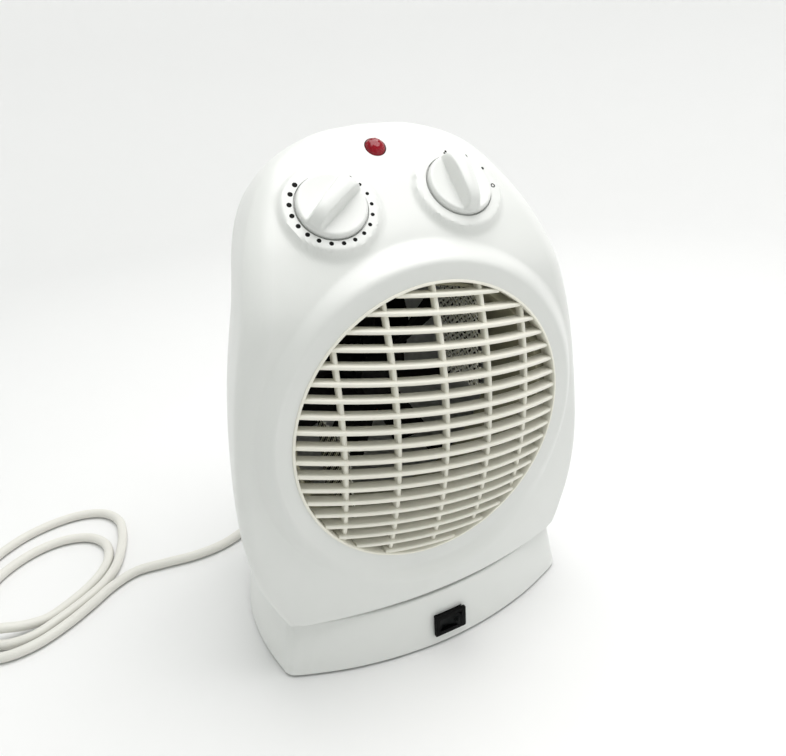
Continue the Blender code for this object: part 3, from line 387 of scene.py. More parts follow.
# ---------------------------------------------------------------- head shells
RING_FLAT = 0.0870               # the outlet's flat surround ends here
RING_BLEND = 0.0965              # and has met the face here
BOSS_SLOPE = 1.7
SOFTNESS = 0.0009


def knob_places():
    out = []
    for name in ("thermostat_turn", "selector_turn"):
        joint = joints[name]
        out.append(axis_frame(joint["pos_m"], -Vector(joint["axis"])))
    return out


def face_y(x, z):
    bow = FACE_BOW + SEAM_BOW * np.exp((HEAD_Z - z) / SEAM_FADE)
    y = hermite(FACE, z) + bow * x * x
    reach = np.hypot(x, z - OUTLET_Z)
    flat = smoothstep(RING_BLEND, RING_FLAT, reach)
    return y + (OUTLET_Y - y) * flat


def with_bosses(x, y, z):
    """The face raised to the two round bosses under the knobs, blended softly."""
    for place in knob_places():
        origin, axis = place.translation, place.col[2].xyz
        u, v = place.col[0].xyz, place.col[1].xyz
        dx, dy, dz = x - origin.x, y - origin.y, z - origin.z
        across = dx * u.x + dy * u.y + dz * u.z
        along = dx * v.x + dy * v.y + dz * v.z
        reach = np.hypot(across, along)
        drop = np.maximum(0.0, reach - BOSS_R) * BOSS_SLOPE
        lift = -drop - (dx * axis.x + dy * axis.y + dz * axis.z)
        step = SOFTNESS * np.logaddexp(0.0, lift / SOFTNESS)
        step = np.where(lift > 8 * SOFTNESS, lift, step)
        step = step * smoothstep(BOSS_R + 0.014, BOSS_R + 0.006, reach)
        flat = smoothstep(BOSS_R + 0.0020, BOSS_R - 0.0006, reach)
        step = flat * lift + (1 - flat) * step
        x, y, z = x + step * axis.x, y + step * axis.y, z + step * axis.z
    return x, y, z


def rim_outline(inset, per_span):
    side = smooth_curve(RIM[:-1], per_span)[:-1]
    side += smooth_curve((RIM[-2], RIM[-1]), per_span)
    bottom_count = 14 * per_span
    bottom = [Vector((RIM[-1][0] * (1 - i / bottom_count), HEAD_Z,
                      0.0015 + (RIM[-1][2] - 0.0015) * max(0.0, 1 - i / per_span)))
              for i in range(1, bottom_count)]
    half = [*side, *bottom]
    loop = [*half, Vector((0.0, HEAD_Z, 0.0015)), *[Vector((-p.x, p.y, p.z)) for p in reversed(half[1:])]]
    pts = np.array([tuple(p) for p in loop])
    before, after = np.roll(pts, 1, axis=0), np.roll(pts, -1, axis=0)
    inward = np.stack([after[:, 1] - before[:, 1], before[:, 0] - after[:, 0]], 1)
    inward /= np.linalg.norm(inward, axis=1, keepdims=True)
    moved = pts.copy()
    moved[:, :2] += inward * inset
    floor = pts[:, 1] <= HEAD_Z + 1e-6
    moved[floor, 0] = np.clip(pts[floor, 0], -RIM[-1][0] + inset, RIM[-1][0] - inset)
    moved[floor, 1] = HEAD_Z + inset
    moved[~floor, 1] = np.maximum(moved[~floor, 1], HEAD_Z + inset * 1.5)
    return moved


def shell_rings(inset, per_span, radial, detail):
    """Rings of the face from the outlet hole to the rim, and a function for the wall behind it."""
    outline = rim_outline(inset, per_span)
    rim, depth = outline[:, :2], outline[:, 2]
    centre = np.array([0.0, OUTLET_Z])
    direction = rim - centre
    direction /= np.linalg.norm(direction, axis=1, keepdims=True)
    hole = centre + direction * OUTLET_R
    inner = rim - direction * (depth * FILLET_WIDTH)[:, None]

    def surface(q, extra):
        x, z = q[:, 0], q[:, 1]
        slope = (face_y(x, z + 0.001) - face_y(x, z - 0.001)) / 0.002
        y = face_y(x, z) + inset * np.hypot(1, slope) + extra
        if detail:
            x, y, z = with_bosses(x, y, z)
        return np.stack([x, y, z], 1)

    rings = [surface(hole + (inner - hole) * t, 0.0) for t in np.linspace(0, 1, radial)]
    for a in np.radians(np.linspace(0, 90, 9 if detail else 4))[1:]:
        rings.append(surface(inner + (rim - inner) * math.sin(a), depth * (1 - math.cos(a))))
    rim_ring = rings[-1]
    wall_end = REAR_Y - REAR_RADIUS - inset
    full = wall_end - rim_ring[:, 1]

    def wall(y):
        run = y - rim_ring[:, 1]
        share = np.clip(run / full, 0, 1)
        back = run * share ** 0.35
        top = HEIGHT - HEAD_Z
        x = rim[:, 0] * (1 - TAPER * back)
        z = HEAD_Z + (rim[:, 1] - HEAD_Z) * (1 - REAR_TOP_DROP * back / top)
        return np.stack([x, y * np.ones(len(x)), z], 1)

    return rings, rim_ring, wall, wall_end


def parting_y(rim_ring):
    """The parting line behind each rim point, always at least a little behind the rim."""
    z, y = zip(*PARTING)
    soft = np.interp(rim_ring[:, 2] - 0.004, z, y)
    return np.maximum(soft, rim_ring[:, 1] + 0.006)


def close_shell(name, outer, inner, mat, body):
    """Closed shell between an outer and an inner stack of rings with the same spokes."""
    bm = bmesh.new()
    rows = loft(bm, [*outer, *reversed(inner)])
    count = len(rows[0])
    for j in range(count):
        k = (j + 1) % count
        bm.faces.new((rows[-1][j], rows[-1][k], rows[0][k], rows[0][j]))
    return from_bmesh(name, bm, mat, body)


def front_housing(mat):
    spokes = 13
    outer, rim_ring, wall, _ = shell_rings(0.0, spokes, 64, True)
    part = parting_y(rim_ring)
    outer += [wall(rim_ring[:, 1] + (part - GAP / 2 - rim_ring[:, 1]) * t)
              for t in (0.15, 0.35, 0.6, 0.85, 0.97, 1.0)]
    inner, inner_rim, inner_wall, _ = shell_rings(WALL, spokes, 8, False)
    inner += [inner_wall(inner_rim[:, 1] + (part - GAP / 2 - inner_rim[:, 1]) * t) for t in (0.5, 1.0)]
    shell = close_shell("front_shell", outer, inner, mat, "head")
    bm = bmesh.new()
    well_r = KNOB_R + 0.0009
    for place in knob_places():
        turned(bm, [(0, 0.02), (well_r, 0.02), (well_r, -0.0019), (0.0045, -0.0019), (0.0045, -0.021),
                    (0, -0.021)], place, 96)
    turned(bm, [(0, 0.02), (0.0057, 0.02), (0.0057, -0.02), (0, -0.02)], axis_frame(LAMP, LAMP_AXIS), 64)
    apply_boolean(shell, from_bmesh("openings", bm, mat, None))
    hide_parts("front_housing")
    return shell


def rear_rings(inset, spokes, fine):
    _, rim_ring, wall, wall_end = shell_rings(inset, spokes, 4, False)
    part = parting_y(shell_rings(0.0, spokes, 4, False)[1])
    rings = [wall(part + GAP / 2 + (wall_end - part - GAP / 2) * t)
             for t in ((0.0, 0.03, 0.1, 0.2, 0.35, 0.5, 0.65, 0.8, 0.92, 1.0) if fine else (0, 0.5, 1))]
    last = rings[-1]
    for a in np.radians(np.linspace(0, 90, 13 if fine else 4))[1:]:
        out = last - np.array([0.0, 0.0, OUTLET_Z])
        out[:, 1] = 0.0
        run = REAR_RADIUS * (1 - math.cos(a)) / np.linalg.norm(out, axis=1)
        ring = last - out * run[:, None]
        ring[:, 1] = wall_end + REAR_RADIUS * math.sin(a)
        rings.append(ring)
    middle = np.array([0.0, rings[-1][0, 1], OUTLET_Z])
    for share in (0.5, 0.9):
        rings.append(rings[-1] + (middle - rings[-1]) * share)
    return rings


def rear_housing(mat):
    bm = bmesh.new()
    outer, inner = rear_rings(0.0, 6, True), rear_rings(WALL, 6, False)
    rows_out = loft(bm, outer, cap_end=True)
    rows_in = loft(bm, inner, cap_end=True)
    count = len(rows_out[0])
    for j in range(count):
        k = (j + 1) % count
        bm.faces.new((rows_out[0][j], rows_out[0][k], rows_in[0][k], rows_in[0][j]))
    shell = from_bmesh("rear_shell", bm, mat, "head")
    cutters = bmesh.new()
    for row in range(10):
        z = OUTLET_Z + 0.0100 * (row - 4.5)
        half = math.sqrt(0.052 ** 2 - (z - OUTLET_Z) ** 2 * 0.6)
        for low, high in ((-half, -0.003), (0.003, half)):
            slot_cutter(cutters, low, high, z, 0.0025)
    for x, z in ((-0.046, 0.075), (0.046, 0.075), (-0.042, 0.205), (0.042, 0.205)):
        turned(cutters, [(0, 0.03), (0.0042, 0.03), (0.0042, 0), (0, 0)],
               axis_frame((x, 0.070, z), (0, 1, 0)), 32)
    turned(cutters, [(0, 0.043), (0.020, 0.043), (0.020, 0.03), (0, 0.03)], Matrix.Identity(4), 64)
    apply_boolean(shell, from_bmesh("rear_openings", cutters, mat, None))
    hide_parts("rear_housing")
    return shell


def slot_cutter(bm, low, high, z, half):
    """Round-ended slot that goes through the back."""
    ends = 8
    outline = []
    for middle, first in ((high - half, -90), (low + half, 90)):
        for i in range(ends + 1):
            a = math.radians(first + 180 * i / ends)
            outline.append((middle + half * math.cos(a), z + half * math.sin(a)))
    loft(bm, [[(x, y, zz) for x, zz in outline] for y in (REAR_Y - 0.02, REAR_Y + 0.02)],
         cap_start=True, cap_end=True)


# ---------------------------------------------------------------- outlet grille
def dome_y(x, z):
    reach = (x * x + (z - OUTLET_Z) ** 2) / GRILLE_R ** 2
    return OUTLET_Y - DOME * max(0.0, 1 - reach)


def slat(bm, path, across, section):
    """Bar along the path; the section is (across, depth) pairs."""
    loft(bm, [[p + across * s + Vector((0, d, 0)) for s, d in section] for p in path],
         cap_start=True, cap_end=True)


def blade_section(half, depth, tail):
    nose = [(half * math.cos(math.radians(a)), half * 0.8 * (1 - math.sin(math.radians(a))))
            for a in (0, 30, 60, 90, 120, 150, 180)]
    return [*nose, (-half * tail, depth), (half * tail, depth)]


def outlet_grille(mat):
    bm, ribs = bmesh.new(), bmesh.new()
    reach = GRILLE_R - 0.0006
    up, side = Vector((0, 0, 1)), Vector((1, 0, 0))
    blade = blade_section(0.00115, 0.0078, 0.66)
    for i in range(LOUVRES):
        z = OUTLET_Z - LOUVRE_DROP + (i - (LOUVRES - 1) / 2) * LOUVRE_PITCH
        half = math.sqrt(reach ** 2 - (z - OUTLET_Z) ** 2)
        spans = max(8, round(half / 0.0025))
        xs = [half * (2 * k / spans - 1) for k in range(spans + 1)]
        slat(bm, [Vector((x, dome_y(x, z), z)) for x in xs], up, blade)
    rib = blade_section(0.00120, 0.0048, 0.8)
    for x in RIB_X:
        half = math.sqrt(reach ** 2 - x ** 2)
        spans = 48
        zs = [OUTLET_Z + half * (2 * k / spans - 1) for k in range(spans + 1)]
        slat(ribs, [Vector((x, dome_y(x, z) + 0.0022, z)) for z in zs], side, rib)
    centre = Matrix.Translation((0.0, 0.0, OUTLET_Z))
    bm.transform(centre @ Matrix.Rotation(LOUVRE_TURN, 4, "Y") @ centre.inverted())
    ribs.transform(centre @ Matrix.Rotation(RIB_TURN, 4, "Y") @ centre.inverted())
    rib_mesh = bpy.data.meshes.new("ribs")
    ribs.to_mesh(rib_mesh)
    ribs.free()
    bm.from_mesh(rib_mesh)
    bpy.data.meshes.remove(rib_mesh)
    inner = GRILLE_R - 0.0007
    rim = OUTLET_R + 0.0003
    ring = [(rim, 0.0006), (rim, -0.0002), (GRILLE_R, -0.0004), (GRILLE_R, -0.0080), (inner, -0.0080),
            (inner, 0.0002), (inner + 0.0004, 0.0010), (rim - 0.0006, 0.0010)]
    turned(bm, ring, axis_frame((0.0, OUTLET_Y, OUTLET_Z), (0.0, -1.0, 0.0)), 160)
    grille = from_bmesh("louvre_grille", bm, mat, "head")
    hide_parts("outlet_grille")


# ---------------------------------------------------------------- heating element
BOARDS = {                       # x of the board, its low and high edge
    "right": (0.0380, 0.1480, 0.2040),
    "left": (-0.0450, 0.0920, 0.1370),
}


def element(mica, wound, wire):
    low_duct, high_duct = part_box("element_duct")
    bm = bmesh.new()
    place = axis_frame((0, 0, OUTLET_Z), (0, -1, 0))
    radius = (high_duct.x - low_duct.x) / 2
    front, back = -low_duct.y, -high_duct.y
    lip = 0.0008
    turned(bm, [(radius, back), (radius, front - 0.0010), (radius + lip, front), (radius + lip, front + 0.0006),
                (radius - 0.0006, front + 0.0006), (radius - 0.0012, front - 0.0005),
                (radius - 0.0012, back)], place, 96)
    duct = from_bmesh("duct_ring", bm, mica, "head")
    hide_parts("element_duct")
    for word, (x, low, high) in BOARDS.items():
        inward = -1 if x > 0 else 1
        y0, y1 = low_duct.y + 0.003, high_duct.y - 0.003
        bm = bmesh.new()
        notch_pitch = 0.0031
        rows = int((high - low) / notch_pitch)
        edge = []
        for i in range(rows):
            z = low + (i + 0.5) * (high - low) / rows
            for dz, dy in ((-0.0009, 0.0), (-0.0007, 0.0010), (0.0007, 0.0010), (0.0009, 0.0)):
                edge.append((dy, z + dz))
        outline = [(y0 + dy, z) for dy, z in edge] + [(y1 - dy, z) for dy, z in reversed(edge)]
        outline = [(y0, low), *outline[:len(edge)], (y0, high),
                   (y1, high), *outline[len(edge):], (y1, low)]
        loft(bm, [[(x + s, y, z) for y, z in outline] for s in (-0.0004, 0.0004)],
             cap_start=True, cap_end=True)
        board = from_bmesh(f"notched_board_{word}", bm, wound, "head")
        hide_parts(f"mica_board_{word}")
        bm = bmesh.new()
        for i in range(rows):
            z = low + (i + 0.5) * (high - low) / rows
            waves = 9
            points = []
            for k in range(2 * waves + 1):
                y = y0 + 0.0015 + (y1 - y0 - 0.003) * k / (2 * waves)
                points.append(Vector((x + inward * 0.0014, y, z + (0.0012 if k % 2 else -0.0012))))
            tube_rings(bm, points, 0.00050, 6)
        coil = from_bmesh(f"zigzag_wire_{word}", bm, wire, "head")
        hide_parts(f"heating_wire_{word}")


def inner_plate_and_shade(mat, mica):
    """Mica plate around the element, and two black pieces of painted shade: a disc inside the back and a band in
    the swivel groove.
    """
    low_duct, high_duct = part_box("element_duct")
    front = axis_frame((0.0, low_duct.y, OUTLET_Z), (0.0, -1.0, 0.0))
    radius = (high_duct.x - low_duct.x) / 2
    bm = bmesh.new()
    turned(bm, [(0.0850, -0.0012), (0.0850, -0.0002), (radius + 0.0003, -0.0002), (radius + 0.0003, -0.0012)],
           front, 72)
    plate = from_bmesh("element_plate", bm, mica, "head")
    bm = bmesh.new()
    # painted shade: a black disc inside the back, behind the slots, keeps the inside dark
    back = axis_frame((0.0, REAR_Y - WALL - 0.0016, OUTLET_Z), (0.0, -1.0, 0.0))
    turned(bm, [(0, 0.0008), (0.0600, 0.0008), (0.0600, 0.0), (0, 0.0)], back, 72)
    screen = from_bmesh("rear_shade_screen", bm, mat, "head")
    bm = bmesh.new()
    # painted shade: a black band in the swivel groove between base and head, for the shade in the seam
    band = [base_loop(0.0030, z) for z in (BASE_TOP - 0.0006, HEAD_Z + 0.0006)]
    inside = [base_loop(0.0042, z) for z in (HEAD_Z + 0.0006, BASE_TOP - 0.0006)]
    rows = loft(bm, [*band, *inside])
    count = len(rows[0])
    for j in range(count):
        k = (j + 1) % count
        bm.faces.new((rows[-1][j], rows[-1][k], rows[0][k], rows[0][j]))
    groove = from_bmesh("seam_shade_band", bm, mat, "base")


def tube_rings(bm, points, radius, sides, taper=None):
    """Closed tube along the points; its section turns with the path."""
    up = Vector((0.0, 0.0, 1.0))
    rings = []
    for i, p in enumerate(points):
        run = (points[min(i + 1, len(points) - 1)] - points[max(i - 1, 0)]).normalized()
        side = run.cross(up)
        side = side.normalized() if side.length > 1e-4 else Vector((1, 0, 0))
        lift = side.cross(run)
        r = radius if taper is None else taper(i / (len(points) - 1))
        angles = [2 * math.pi * j / sides for j in range(sides)]
        rings.append([p + (side * math.cos(a) + lift * math.sin(a)) * r for a in angles])
    loft(bm, rings, cap_start=True, cap_end=True)


# ---------------------------------------------------------------- knobs, dial marks and lamp
def knob(name, place, pointer, mat):
    """Dished dial with a tapered grip bar whose foot runs smoothly into the dish."""
    half = 0.0050
    bar_top = 0.0112
    rings, steps = 44, 128
    bm = bmesh.new()
    turn = place @ Matrix.Rotation(-pointer, 4, "Z")

    def height(u, v):
        r = math.hypot(u, v)
        dish = 0.0024 + 0.0008 * min(1.0, r / KNOB_R) ** 2
        edge = max(0.0, r - (KNOB_R - 0.0016)) / 0.0016
        dish -= 0.0016 * (1 - math.sqrt(max(0.0, 1 - min(1.0, edge) ** 2)))
        reach = KNOB_R - 0.0010
        run = max(0.0, 1 - (abs(v) / reach) ** 5)
        width = half * (0.92 + 0.16 * v / reach)
        side = (abs(u) - (width - 0.0010)) / 0.0018
        wall = 1.0 if side <= 0 else max(0.0, 1 - side)
        wall = wall * wall * (3 - 2 * wall)
        crown = bar_top - 0.0016 * (u / half) ** 2 - 0.0012 * (v / reach) ** 2
        return max(dish, dish + (crown - dish) * wall * run ** 0.5)

    grid = []
    for i in range(rings + 1):
        r = KNOB_R * (i / rings)
        grid.append([(r * math.cos(2 * math.pi * j / steps), r * math.sin(2 * math.pi * j / steps))
                     for j in range(steps)])
    rows = [[turn @ Vector((u, v, height(u, v))) for u, v in ring] for ring in grid[1:]]
    skirt = [[turn @ Vector((u, v, z)) for u, v in grid[-1]] for z in (0.0006, -0.0012)]
    made = loft(bm, [*rows, *skirt], cap_end=True)
    tip = bm.verts.new(turn @ Vector((0, 0, height(0, 0))))
    for j in range(steps):
        bm.faces.new((made[0][j], made[0][(j + 1) % steps], tip))
    turned(bm, [(0, -0.0008), (0.0030, -0.0008), (0.0030, -0.0160), (0, -0.0160)], place, 32)
    dial = from_bmesh(f"{name}_dial", bm, mat, name, sharp=50)
    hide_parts(name)


def ink_disc(bm, face, place, u, v, radius, inner=0.0, steps=24):
    """Thin printed mark on the face, a ring where it has an inner radius."""
    high = 0.0
    for a, r in [(0, 0)] + [(math.radians(60 * i), radius) for i in range(6)]:
        start = place @ Vector((u + r * math.cos(a), v + r * math.sin(a), 0.008))
        hit = face.ray_cast(start, -place.col[2].xyz)
        high = max(high, 0.008 - hit[3]) if hit[0] else high
    low, high = -0.0005, high + 0.00006
    at = place @ Matrix.Translation((u, v, 0))
    if inner:
        turned(bm, [(radius, low), (radius, high), (inner, high), (inner, low)], at, steps)
    else:
        turned(bm, [(0, high), (radius, high), (radius, low), (0, low)], at, steps)


def dial_marks(mat, shell):
    left, right = knob_places()
    face = BVHTree.FromObject(shell, bpy.context.evaluated_depsgraph_get())
    ring_r = 0.0198
    bm = bmesh.new()
    for i in range(17):
        a = math.radians(44 + 17 * i)
        radius = 0.00085 + 0.00045 * i / 16
        ink_disc(bm, face, left, ring_r * math.sin(a), ring_r * math.cos(a), radius)
    marks = from_bmesh("thermostat_marks", bm, mat, "head")
    bm = bmesh.new()
    for degrees, kind in ((5, "fan"), (37, "dot"), (69, "small"), (101, "ring")):
        a = math.radians(degrees)
        u, v = ring_r * math.sin(a), ring_r * math.cos(a)
        if kind == "fan":
            for k in range(3):
                b = math.radians(120 * k + 20)
                ink_disc(bm, face, right, u + 0.00085 * math.sin(b), v + 0.00085 * math.cos(b), 0.00062)
        elif kind == "ring":
            ink_disc(bm, face, right, u, v, 0.00125, 0.00070)
        else:
            ink_disc(bm, face, right, u, v, 0.00130 if kind == "dot" else 0.00085)
    marks = from_bmesh("selector_marks", bm, mat, "head")


def lamp(mat):
    """Faceted pilot lens: rings of flat facets under a small table."""
    place = axis_frame(LAMP, LAMP_AXIS)
    bm = bmesh.new()
    rings = []
    for r, z, shift in ((0.0053, -0.0060, 0), (0.0053, 0.0004, 0), (0.0045, 0.0017, 0.5),
                        (0.0032, 0.0026, 0), (0.0016, 0.0031, 0.5)):
        rings.append([place @ Vector((r * math.cos(2 * math.pi * (j + shift) / 12),
                                      r * math.sin(2 * math.pi * (j + shift) / 12), z))
                      for j in range(12)])
    rows = [[bm.verts.new(p) for p in ring] for ring in rings]
    for n, (a, b) in enumerate(zip(rows, rows[1:])):
        for j in range(12):
            k = (j + 1) % 12
            if n == 0:
                bm.faces.new((a[j], a[k], b[k], b[j]))
            elif n % 2:
                bm.faces.new((a[j], a[k], b[j]))
                bm.faces.new((a[k], b[k], b[j]))
            else:
                bm.faces.new((a[j], a[k], b[k]))
                bm.faces.new((a[j], b[k], b[j]))
    bm.faces.new(rows[0])
    bm.faces.new(rows[-1])
    lens = from_bmesh("faceted_lens", bm, mat, "head", sharp=5)
    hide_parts("lamp_lens")


# ---------------------------------------------------------------- base
def base_loop(inset, z, per_span=5):
    """Plan outline of the base at a height, as in the CAD but finer."""
    scale = 1 - (1 - BASE_DRAFT) * z / BASE_TOP
    half = [Vector((x, y, 0)) for x, y in BASE_HALF]
    front = smooth_curve([Vector((-half[1].x, half[1].y, 0)), *half[:5]], per_span)[per_span:]
    back = smooth_curve(half[4:] + [Vector((-half[-2].x, half[-2].y, 0))], per_span)[:-per_span]
    side = [*front[:-1], *back]
    loop = [*side, *[Vector((-p.x, p.y, 0)) for p in reversed(side[1:-1])]]
    out = []
    for i, p in enumerate(loop):
        run = loop[(i + 1) % len(loop)] - loop[i - 1]
        normal = Vector((run.y, -run.x, 0)).normalized()
        out.append(p * scale - normal * inset + Vector((0, 0, z)))
    return out


def base_cover(mat):
    edge = 0.0014
    levels = [(0.0005, SKIRT_Z)]
    levels += [(0.0, SKIRT_Z + 0.0006), (0.0, BASE_TOP - edge)]
    levels += [(edge * (1 - math.cos(math.radians(a))), BASE_TOP - edge * (1 - math.sin(math.radians(a))))
               for a in (22, 45, 67, 90)]
    bm = bmesh.new()
    outer = [base_loop(inset, z) for inset, z in levels]
    inner = [base_loop(WALL, z) for z in (BASE_TOP - WALL, SKIRT_Z)]
    rows_out = loft(bm, outer, cap_end=True)
    rows_in = loft(bm, inner)
    bm.faces.new(rows_in[0])
    count = len(rows_out[0])
    for j in range(count):
        k = (j + 1) % count
        bm.faces.new((rows_in[-1][j], rows_in[-1][k], rows_out[0][k], rows_out[0][j]))
    cover = from_bmesh("base_shell", bm, mat, "base")
    low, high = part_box("switch_bezel")
    cutters = bmesh.new()
    bmesh.ops.create_cube(cutters, size=1.0, matrix=Matrix.Translation(
        ((low.x + high.x) / 2, low.y, (low.z + high.z) / 2))
        @ Matrix.Diagonal((high.x - low.x - 0.002, 0.03, high.z - low.z - 0.002, 1)))
    turned(cutters, [(0, 0.044), (0.0095, 0.044), (0.0095, 0.03), (0, 0.03)], Matrix.Identity(4), 48)
    turned(cutters, [(0, 0.012), (0.0058, 0.012), (0.0058, -0.012), (0, -0.012)],
           axis_frame(STRAIN_EXIT, STRAIN_AIM), 40)
    apply_boolean(cover, from_bmesh("base_openings", cutters, mat, None))
    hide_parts("base_cover")


def rounded_plate(x0, x1, z0, z1, radius, y_front, y_back, soft, steps=6):
    """Rings of a block with rounded corners in the XZ plane and a softened front edge."""
    def outline(inset):
        pts = []
        r = max(0.0001, radius - inset)
        for cx, cz, first in ((x1 - radius, z1 - radius, 0), (x0 + radius, z1 - radius, 90),
                              (x0 + radius, z0 + radius, 180), (x1 - radius, z0 + radius, 270)):
            for i in range(steps + 1):
                a = math.radians(first + 90 * i / steps)
                pts.append((cx + r * math.cos(a), cz + r * math.sin(a)))
        return pts
    stack = [[(x, y_back, z) for x, z in outline(0)], [(x, y_front + soft, z) for x, z in outline(0)]]
    for a in (30, 60, 90):
        a = math.radians(a)
        y = y_front + soft * (1 - math.sin(a))
        stack.append([(x, y, z) for x, z in outline(soft * (1 - math.cos(a)))])
    return stack


def rocker_switch(mat, gloss):
    low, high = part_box("switch_bezel")
    mid_x, mid_z = (low.x + high.x) / 2, (low.z + high.z) / 2
    face = low.y
    half_x, half_z = (high.x - low.x) / 2, (high.z - low.z) / 2
    wall = 0.0028
    bm = bmesh.new()
    outer = rounded_plate(mid_x - half_x, mid_x + half_x, mid_z - half_z, mid_z + half_z, 0.0011,
                          face, face + 0.0016, 0.0005)
    inner = rounded_plate(mid_x - half_x + wall, mid_x + half_x - wall, mid_z - half_z + wall,
                          mid_z + half_z - wall, 0.0006, face, face + 0.0070, 0.0003)
    body = rounded_plate(mid_x - half_x + 0.0016, mid_x + half_x - 0.0016, mid_z - half_z + 0.0016,
                         mid_z + half_z - 0.0016, 0.0008, face + 0.0016, high.y, 0.0)[:2]
    loft(bm, [*body, *outer, *reversed(inner)], cap_start=True, cap_end=True)
    bezel = from_bmesh("switch_frame", bm, mat, "base")
    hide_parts("switch_bezel")

    joint = joints["rocker_tilt"]
    low_r, high_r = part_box("rocker")
    tall = (high_r.z - low_r.z) / 2
    place = Matrix.Translation(joint["pos_m"]) @ Matrix.Rotation(math.radians(-8), 4, "Z")
    half = half_x - 0.0036
    bm = bmesh.new()
    profile = []
    steps = 16
    for i in range(steps + 1):
        x = -half + 2 * half * i / steps
        profile.append((x, -0.0030 + 0.0024 * (1 - (x / half) ** 2)))
    profile += [(half * 0.95, -0.0010), (half * 0.72, 0.0030), (-half * 0.72, 0.0030), (-half * 0.95, -0.0010)]
    soft = 0.0004
    stack = []
    for z, inset in ((-tall, soft), (-tall + soft, 0), (tall - soft, 0), (tall, soft)):
        stack.append([place @ Vector((x * (1 - inset / half), y + inset * (1 if y < 0 else -1), z))
                      for x, y in profile])
    loft(bm, stack, cap_start=True, cap_end=True)
    for z in (0.0, 0.0007, -0.0007, 0.0014, -0.0014):
        ridge = [place @ Vector((x, -0.0030 + 0.0024 * (1 - (x / half) ** 2) - 0.00002, z))
                 for x in (half * 0.45, half * 0.6, half * 0.75)]
        tube_rings(bm, ridge, 0.00022, 6)
    rocker = from_bmesh("rocker_key", bm, gloss, "rocker")
    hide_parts("rocker")


# ---------------------------------------------------------------- cord, strain relief and plug
def cord_path():
    exit_point = STRAIN_EXIT + STRAIN_AIM * (STRAIN_LENGTH - 0.0040)
    lead = STRAIN_EXIT + STRAIN_AIM * (STRAIN_LENGTH + 0.0084)
    loose = smooth_curve([exit_point, lead, *CORD_ROUTE], 6)
    upper = FLOOR_Z + 2 * CORD_R
    inner, outer, beside = COIL_R - CORD_R, COIL_R + CORD_R, COIL_R + 0.0100

    def at(turn):
        """Place on the coil, in degrees wound clockwise from its -X side."""
        radius = float(np.interp(turn, (-123, -60, 180, 280, 830, 895, 1030, 1083),
                                 (0.0468, outer, outer, inner, inner, outer, outer, beside)))
        height = float(np.interp(turn, (520, 585, 1030, 1085), (FLOOR_Z, upper, upper, 0.0100)))
        a = math.radians(turn)
        return COIL_CENTRE + Vector((-radius * math.cos(a), radius * math.sin(a), height))

    turns = [at(t) for t in range(-111, 1078, 12)]
    coil = smooth_curve([loose[-1], *turns, Vector(TAIL_ROUTE[0])], 2)
    tail = smooth_curve(TAIL_ROUTE, 6)
    return [*loose[:-1], *coil[:-1], *tail]


def cord(mat):
    points = cord_path()
    line = bpy.data.curves.new("mains_cord", "CURVE")
    line.dimensions = "3D"
    line.bevel_depth = CORD_R
    line.bevel_resolution = 5
    line.use_fill_caps = True
    spline = line.splines.new("POLY")
    spline.points.add(len(points) - 1)
    for point, co in zip(spline.points, points):
        point.co = (*co, 1.0)
    spline.use_smooth = True
    line.materials.append(mat)
    made = bpy.data.objects.new("mains_cord", line)
    bpy.context.scene.collection.objects.link(made)
    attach(made, "base")
    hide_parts("power_cord", "cord_coil", "cord_tail")
    length = sum((b - a).length for a, b in zip(points, points[1:]))
    return made, points, length


def strain_relief(mat):
    place = axis_frame(STRAIN_EXIT, STRAIN_AIM)
    profile = [(0.0034, -0.0090), (0.0064, -0.0090), (0.0064, -0.0068), (0.0046, -0.0068), (0.0046, 0.0020),
               (0.0060, 0.0022), (0.0060, 0.0044), (0.0056, 0.0050)]
    ribs = 6
    start, end = 0.0054, STRAIN_LENGTH - 0.0016
    pitch = (end - start) / ribs
    for i in range(ribs):
        r = 0.0055 + (0.0043 - 0.0055) * i / (ribs - 1)
        z = start + i * pitch
        profile += [(r - 0.0009, z), (r - 0.0009, z + pitch * 0.36), (r - 0.0002, z + pitch * 0.42),
                    (r, z + pitch * 0.55), (r, z + pitch * 0.88), (r - 0.0002, z + pitch * 0.97)]
    profile += [(0.0040, end), (0.0040, STRAIN_LENGTH - 0.0004), (0.0037, STRAIN_LENGTH), (0.0034, STRAIN_LENGTH)]
    bm = bmesh.new()
    turned(bm, profile, place, 40)
    relief = from_bmesh("ribbed_relief", bm, mat, "base")
    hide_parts("strain_relief")
    return relief


